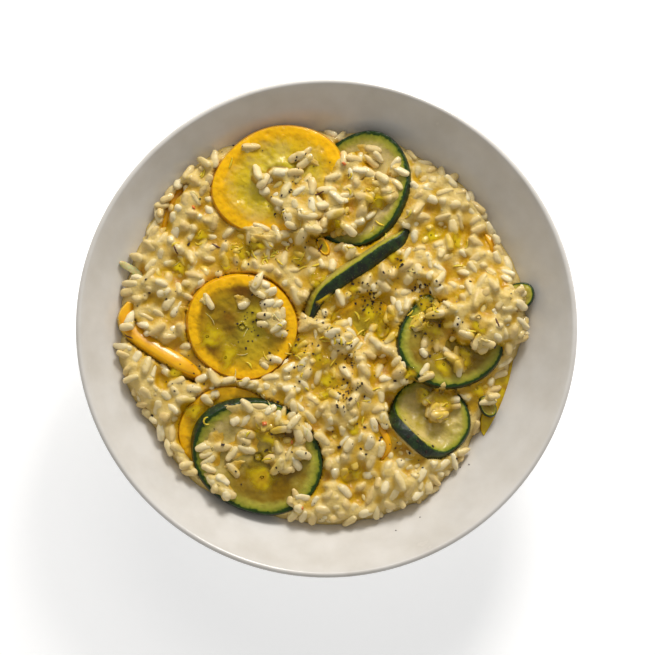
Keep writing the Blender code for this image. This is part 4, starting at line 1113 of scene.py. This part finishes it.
def olive_oil(name, thinnest, thickest):
    """Olive oil, pressed and poured: a clear green-gold liquid with a level, glassy surface.

    The eye gets sharp highlights, and a colour that is deeper where the oil is thick.
    """
    made, tree, place = new_material(name)
    swirl = add_node(tree, "TexNoise", {"Scale": 1.0 / SWIRL, "Detail": 2.0}, {"Vector": place})
    tint = add_node(tree, "ValToRGB", links={"Fac": swirl}, stops=((0.34, OIL[0]), (0.66, OIL[1])))
    depth = add_node(tree, "Attribute", attribute_name="depth").outputs["Fac"]
    cover = add_node(tree, "MapRange", {3: thinnest, 4: thickest}, {"Value": depth})
    bump = add_node(tree, "Bump", {"Strength": 0.3, "Distance": 0.4 * MM}, {"Height": swirl})
    show(tree, add_node(tree, "BsdfPrincipled", {"IOR": 1.47, "Roughness": 0.05},
                        {"Base Color": tint, "Alpha": cover, "Normal": bump}))
    return made


def make_puddle():
    """Oil that lies level between the rice and the wall."""
    outer = next(k * 0.1 * MM for k in range(700, 1000)
                 if bowl_inside(k * 0.1 * MM) + 0.1 * MM > OIL_LEVEL)
    points = []
    for k in range(OIL_STATIONS):
        share = k / (OIL_STATIONS - 1)
        angle = math.radians(OIL_FROM + (OIL_TO - OIL_FROM) * share)
        reach = math.sqrt(max(0.01, 1.0 - (2.0 * share - 1.0) ** 2))
        inner = outer - (outer - OIL_INNER) * reach
        for across in np.linspace(0.0, 1.0, 7):
            distance = inner + (outer - inner) * across
            lift = FILM_EDGE * math.sin(math.pi * across) ** 0.5
            points.append((distance * math.cos(angle), distance * math.sin(angle),
                           OIL_LEVEL - FILM_EDGE + lift))
        for across in (1.0, 0.5, 0.0):
            distance = inner + (outer - inner) * across
            points.append((distance * math.cos(angle), distance * math.sin(angle),
                           min(bowl_inside(distance) + 0.08 * MM, OIL_LEVEL - 0.3 * MM)))
    faces = sheet_faces(OIL_STATIONS, 10)
    faces += [tuple(range(9, -1, -1)), tuple(range((OIL_STATIONS - 1) * 10, OIL_STATIONS * 10))]
    depth = np.tile((0.9, 1.0, 1.0, 0.9, 0.8, 0.5, 0.0, 0.0, 0.5, 1.0), OIL_STATIONS)
    made = make_piece("oil_at_wall", points, faces, [olive_oil("olive_oil_deep", 0.94, 1.0)],
                      values={"depth": depth})
    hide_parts("oil_puddle")


def make_pools():
    """Oil that stands level in the hollows, and thins to nothing where the rice rises."""
    points, faces, depths = [], [], []
    top_there = np.maximum(filled - CREAM_BELOW, lain_on)
    bottom = blurred(top_there, 1.2 * MM)
    for number, (across, along, reach) in enumerate(OIL_POOLS):
        turn = all_round(POOL_COLUMNS)
        draw = np.random.default_rng(number)
        outline = 1.25 + sum(size * np.sin(waves * turn + draw.uniform(0, 6)) for waves, size in (
            (2, 0.2), (3, 0.16), (5, 0.1)))
        share = np.linspace(0.0, 1.0, POOL_ROWS + 1)[1:, None]
        x = across * MM + share * reach * MM * outline * np.cos(turn)
        y = along * MM + share * reach * MM * outline * np.sin(turn)
        floor = ground.read(bottom, x, y)
        level = float(np.percentile(floor, 45)) + POOL_RISE
        fill = np.clip((level - floor) / POOL_FULL, -0.4, 1.0)
        z = np.minimum(level, floor + POOL_DEEPEST) + 0.1 * MM
        z = z + (floor - POOL_TUCK[0] - z) * smooth_step(0.66, 1.0, share)
        start = len(points)
        points += np.stack((x, y, z), -1).reshape(-1, 3).tolist()
        points += [(across * MM, along * MM, float(z[0].mean())),
                   (across * MM, along * MM, float(floor[0].min()) - POOL_TUCK[1])]
        depths += (np.clip(0.55 + fill, 0.0, 1.0) * (1.0 - smooth_step(0.25, 0.9, share))
                   ).ravel().tolist() + [0.8, 0.0]
        faces += sheet_faces(POOL_ROWS, POOL_COLUMNS, start)
        close_ends(faces, POOL_ROWS, POOL_COLUMNS, start, len(points) - 2)
    made = make_piece("oil_in_hollows", points, faces, [olive_oil("olive_oil_film", 0.0, 0.92)],
                      values={"depth": depths})
    return made


make_puddle()
pools = make_pools()

# ---- Pepper, zest, cheese and other bits --------------------------------------------------------
# Black pepper cracked in a mill, lemon zest and hard cheese pulled over a fine grater, and a few
# short flakes of dried chilli and crumbs of carrot from the stock. All are strewn last, by hand.
PEPPER_CLUSTERS = (  # middle, spread and number of the flecks, in millimetres
    (9.4, -29.4, 6.0, 46), (20.0, 12.0, 5.0, 26), (8.0, -12.0, 6.0, 24), (42.0, 19.0, 6.0, 26),
    (-62.0, -22.0, 8.0, 14), (-33.0, 2.6, 9.0, 26), (-12.0, 69.0, 8.0, 10), (-20.0, 55.0, 9.0, 12),
    (14.7, 18.0, 6.0, 20), (30.0, 27.0, 5.0, 9), (51.0, 2.0, 9.0, 14), (-10.0, 33.0, 9.0, 12),
    (-38.0, 27.0, 9.0, 9), (-14.0, -14.0, 8.0, 18), (38.0, -58.0, 8.0, 6), (32.0, -46.0, 7.0, 9),
    (-73.0, 10.0, 8.0, 6), (2.0, 1.0, 7.0, 14), (14.0, -47.0, 9.0, 8), (-26.0, -56.0, 12.0, 9))
PEPPER_STREWN = 46
PEPPER_ON_BOWL = ((56.7, -56.8), (62.3, -59.4), (40.5, -82.3), (-75.9, -38.1), (-2.8, -83.1),
                  (-41.3, 81.3), (-46.2, 78.1), (-36.9, 79.5), (58.6, -60.6), (30.0, -88.0))
ZEST_CLUSTERS = (  # middle, spread and number of the curls, in millimetres
    (-27.0, 32.0, 6.0, 9), (-15.0, 29.0, 5.0, 5), (8.0, -1.0, 8.0, 8), (-58.0, 39.5, 4.0, 3),
    (-55.0, 67.5, 2.0, 2), (-40.0, 36.0, 3.0, 3), (40.0, 2.0, 8.0, 7), (-7.0, -14.0, 7.0, 5),
    (28.0, 44.0, 6.0, 3), (10.0, 60.0, 8.0, 4), (16.0, -36.0, 6.0, 4), (50.0, -34.0, 5.0, 3),
    (-28.0, -52.0, 8.0, 4), (60.0, 34.0, 5.0, 2), (-18.0, -3.0, 4.0, 2))
ZEST_STREWN = 16
SHRED_COUNT = 18
# Place and direction of each chilli flake.
STICKS = ((-66.6, 35.7, -70), (-50.3, 37.1, -30), (-88.1, -3.1, -28), (73.3, 3.5, -72),
          (-3.7, 33.5, 60), (-5.0, 58.0, 20))
CHIP_HALVES = ((0.35, 0.75), (0.25, 0.5), (0.14, 0.36))  # half sizes of a fleck, as shares of it
CHIP_SIDES = ((0, 1, 3, 2), (4, 6, 7, 5), (0, 4, 5, 1), (2, 3, 7, 6), (0, 2, 6, 4), (1, 5, 7, 3))
# Place and size of each crumb of carrot.
CRUMBS = ((7.7, 71.8, 1.6), (-26.8, -42.0, 2.0), (-15.0, -49.9, 1.2), (-10.6, -78.4, 1.2),
          (-58.3, 52.6, 1.4))

scattered_on = tree_of([*vegetables, cream, rice, pools, bowl, smears, *clumps])


def landing(x, y):
    """Where something that falls there comes to lie, and the direction that the place faces."""
    place, facing, _, _ = scattered_on.ray_cast(Vector((x, y, 0.1)), Vector((0, 0, -1)))
    return place, (facing if facing.z > 0 else -facing)


def strew(pick, reach):
    """A random place on the food."""
    angle = pick.uniform(0.0, 2.0 * math.pi)
    distance = reach * float(heap_edge(angle)) * math.sqrt(pick.random())
    return distance * math.cos(angle), distance * math.sin(angle)


def strewn(pick, clusters, loose, reach):
    """Random places: so many round each cluster's middle, and some loose ones anywhere."""
    spots = [(pick.normal(x, spread * 0.6) * MM, pick.normal(y, spread * 0.6) * MM)
             for x, y, spread, number in clusters for _ in range(number)]
    return spots + [strew(pick, reach) for _ in range(loose)]


def chip(points, faces, place, facing, size, pick):
    """Add one angular fleck: a squashed box with its corners moved."""
    spin = Matrix.Rotation(pick.uniform(0, 6.28), 3, "Z")
    turn = facing.to_track_quat("Z", "Y").to_matrix() @ spin
    start = len(points)
    for signs in product((-1, 1), repeat=3):
        corner = Vector([sign * size * pick.uniform(*reach)
                         for sign, reach in zip(signs, CHIP_HALVES)])
        points.append(tuple(place + turn @ (corner + Vector((0, 0, 0.12 * size)))))
    for a, b, c, d in CHIP_SIDES:
        faces += [(start + a, start + b, start + c), (start + a, start + c, start + d)]


def ribbon(points, faces, x, y, heading, length, width, thick, curl):
    """Add one thin shred that lies along the food, curled in its own plane."""
    steps = 9
    start = len(points)
    px, py, angle = x, y, heading
    line = []
    for k in range(steps):
        line.append((px, py))
        angle += curl / steps
        px += length / steps * math.cos(angle)
        py += length / steps * math.sin(angle)
    heights = [landing(*point)[0].z for point in line]
    level = np.convolve(np.pad(heights, 2, mode="edge"), np.ones(5) / 5, "valid")
    level = np.maximum(level, np.array(heights) - 0.1 * MM) + 0.35 * thick
    for k, (px, py) in enumerate(line):
        ahead = Vector(line[min(k + 1, steps - 1)]) - Vector(line[max(k - 1, 0)])
        side = Vector((-ahead.y, ahead.x)).normalized() * width / 2
        side *= 0.3 + 0.7 * math.sin(math.pi * (k + 0.6) / (steps + 0.2))
        for across, up in ((-1, 0), (0, 0.5), (1, 0), (0, -0.5)):
            points.append((px + side.x * across, py + side.y * across, level[k] + up * thick))
    faces += sheet_faces(steps, 4, start)
    last = start + (steps - 1) * 4
    faces += [(start + 3, start + 2, start + 1, start), (last, last + 1, last + 2, last + 3)]


def strew_shreds(name, finish, spots, long, wide, thick, curl):
    """Shreds at given places, each with its own turn, length, width and curl, as one piece."""
    points, faces = [], []
    for x, y in spots:
        ribbon(points, faces, x, y, pick.uniform(0, 6.28), pick.uniform(*long) * MM,
               pick.uniform(*wide) * MM, thick * MM, pick.normal(0.0, curl))
    make_piece(name, points, faces, [finish])


def bit_surface(roughness, coat, depth):
    """Shader values of a small thing: how rough and wet it is, and how far light goes in."""
    return {"Roughness": roughness, "Coat Weight": coat, "Coat Roughness": 0.1,
            "Subsurface Weight": depth, "Subsurface Scale": 1.0 * MM}


BIT_RELIEF = (0.4, 0.2)
# Peppercorns are dried until the skin wrinkles, and the mill cracks them: dull black chips with
# brown faces. The patches are drawn coarser than the real 0.1 mm, so that they show.
CRACKED_PEPPER = mottled("cracked_pepper", ("#1A1009", "#46301C"), 0.4 * MM, BIT_RELIEF,
                         bit_surface(0.75, 0.0, 0.0))
# The grater tears zest from the lemon's waxy skin: bright curls, a little moist and translucent.
LEMON_PEEL = mottled("lemon_peel", ("#F0D43A", "#DDB714"), 1.0 * MM, BIT_RELIEF,
                     bit_surface(0.4, 0.3, 0.3))
# Hard cheese falls from the grater in threads and softens on the hot rice: pale, oily, rounded.
MELTING_CHEESE = mottled("melting_cheese", ("#E6D288", "#D8BE60"), 1.0 * MM, BIT_RELIEF,
                         bit_surface(0.35, 0.4, 0.4))
# Chilli is dried in the sun and crushed: dark red-brown flakes with a slight gloss.
DRIED_CHILLI = mottled("dried_chilli", ("#6B2A14", "#3D1A10"), 0.6 * MM, BIT_RELIEF,
                       bit_surface(0.45, 0.2, 0.0))
# Carrot is cut small and boiled in the stock: soft, wet orange crumbs.
COOKED_CARROT = mottled("cooked_carrot", ("#E8823A", "#CF6A26"), 0.8 * MM, BIT_RELIEF,
                        bit_surface(0.35, 0.4, 0.3))

pick = np.random.default_rng(41)
points, faces = [], []
for x, y in [*strewn(pick, PEPPER_CLUSTERS, PEPPER_STREWN, 0.97),
             *((x * MM, y * MM) for x, y in PEPPER_ON_BOWL)]:
    size = (0.42 + 0.62 * pick.random() ** 2.4 + (0.5 if pick.random() < 0.06 else 0.0)) * MM
    chip(points, faces, *landing(x, y), size, pick)
pepper = make_piece("black_pepper", points, faces, [CRACKED_PEPPER])
pepper.data.shade_flat()
strew_shreds("lemon_zest", LEMON_PEEL, strewn(pick, ZEST_CLUSTERS, ZEST_STREWN, 0.9), (2.4, 5.6),
             (0.7, 1.3), 0.4, 1.5)
strew_shreds("cheese_shreds", MELTING_CHEESE, (strew(pick, 0.85) for _ in range(SHRED_COUNT)),
             (4.0, 7.5), (0.35, 0.6), 0.3, 0.8)

points, faces = [], []
for x, y, heading in STICKS:
    ribbon(points, faces, x * MM, y * MM, math.radians(heading), 4.6 * MM, 0.85 * MM, 0.6 * MM, 0.1)
make_piece("chilli_flakes", points, faces, [DRIED_CHILLI])

points, faces = [], []
for x, y, size in CRUMBS:
    chip(points, faces, *landing(x * MM, y * MM), size * MM, pick)
make_piece("carrot_crumbs", points, faces, [COOKED_CARROT])

# ---- Table and light ----------------------------------------------------------------------------
# A plain white light table, lit a little from below so that shadows stay pale, the light of a
# window and a soft box on the far side, and paler light from all round. The camera looks almost
# straight down.
TABLE = ("#F6F5F3", "#F9F9F8")
TABLE_LIGHT = "#F2F5F9"
# Name, place, size in metres and power in watts.
WINDOWS = (("window", (0.27, 0.84, 0.54), 0.3, 7.9), ("soft_box", (-0.1, 1.15, 0.95), 0.9, 6.0))
WINDOW_COLOUR = (1.0, 0.975, 0.94)
ROOM_COLOUR = (1.0, 0.972, 0.935, 1.0)
ROOM_LIGHT = 0.37
TABLE_GLOW = 0.46
VIEW_ELEVATION = math.radians(84.0)
SENSOR = 36.0
VIEW_DISTANCE = 0.8
VIEW_WIDTH = 0.2812
VIEW_SHIFT = (0.0004, -0.0013)


def matt_table():
    """Cast white acrylic with a matt face, lit from below: even white with a trace of grain."""
    made, tree, place = new_material("matt_table")
    grain = add_node(tree, "TexNoise", {"Scale": 1.0 / (2.0 * MM), "Detail": 2.0},
                     {"Vector": place})
    tint = add_node(tree, "ValToRGB", links={"Fac": grain},
                    stops=((0.3, TABLE[0]), (0.7, TABLE[1])))
    show(tree, add_node(tree, "BsdfPrincipled",
                        {"Roughness": 0.9, "Emission Color": linear(TABLE_LIGHT),
                         "Emission Strength": TABLE_GLOW}, {"Base Color": tint}))
    return made


table_mesh = bpy.data.meshes.new("table_top")
table_mesh.from_pydata([(-2, -2, 0), (2, -2, 0), (2, 2, 0), (-2, 2, 0)], [], [(0, 1, 2, 3)])
table_mesh.materials.append(matt_table())
table_top = bpy.data.objects.new("table_top", table_mesh)
bpy.context.scene.collection.objects.link(table_top)

for light_name, place, size, power in WINDOWS:
    lamp = bpy.data.lights.new(light_name, "AREA")
    lamp.shape = "SQUARE"
    lamp.size = size
    lamp.energy = power
    lamp.color = WINDOW_COLOUR
    holder = bpy.data.objects.new(light_name, lamp)
    holder.location = place
    holder.rotation_euler = (-Vector(place)).to_track_quat("-Z", "Y").to_euler()
    bpy.context.scene.collection.objects.link(holder)

room = bpy.data.worlds.new("pale_room")
room.use_nodes = True
room.node_tree.nodes["Background"].inputs["Color"].default_value = ROOM_COLOUR
room.node_tree.nodes["Background"].inputs["Strength"].default_value = ROOM_LIGHT
bpy.context.scene.world = room
bpy.context.scene.view_settings.view_transform = "Standard"

lens = bpy.data.cameras.new("overhead")
lens.sensor_width = SENSOR
lens.lens = SENSOR * VIEW_DISTANCE / VIEW_WIDTH
camera = bpy.data.objects.new("overhead", lens)
aim = Vector((VIEW_SHIFT[0], VIEW_SHIFT[1], BOWL_HEIGHT))
back = Vector((0.0, -math.cos(VIEW_ELEVATION), math.sin(VIEW_ELEVATION)))
camera.location = aim + back * VIEW_DISTANCE
camera.rotation_euler = (-back).to_track_quat("-Z", "Y").to_euler()
bpy.context.scene.collection.objects.link(camera)
bpy.context.scene.camera = camera
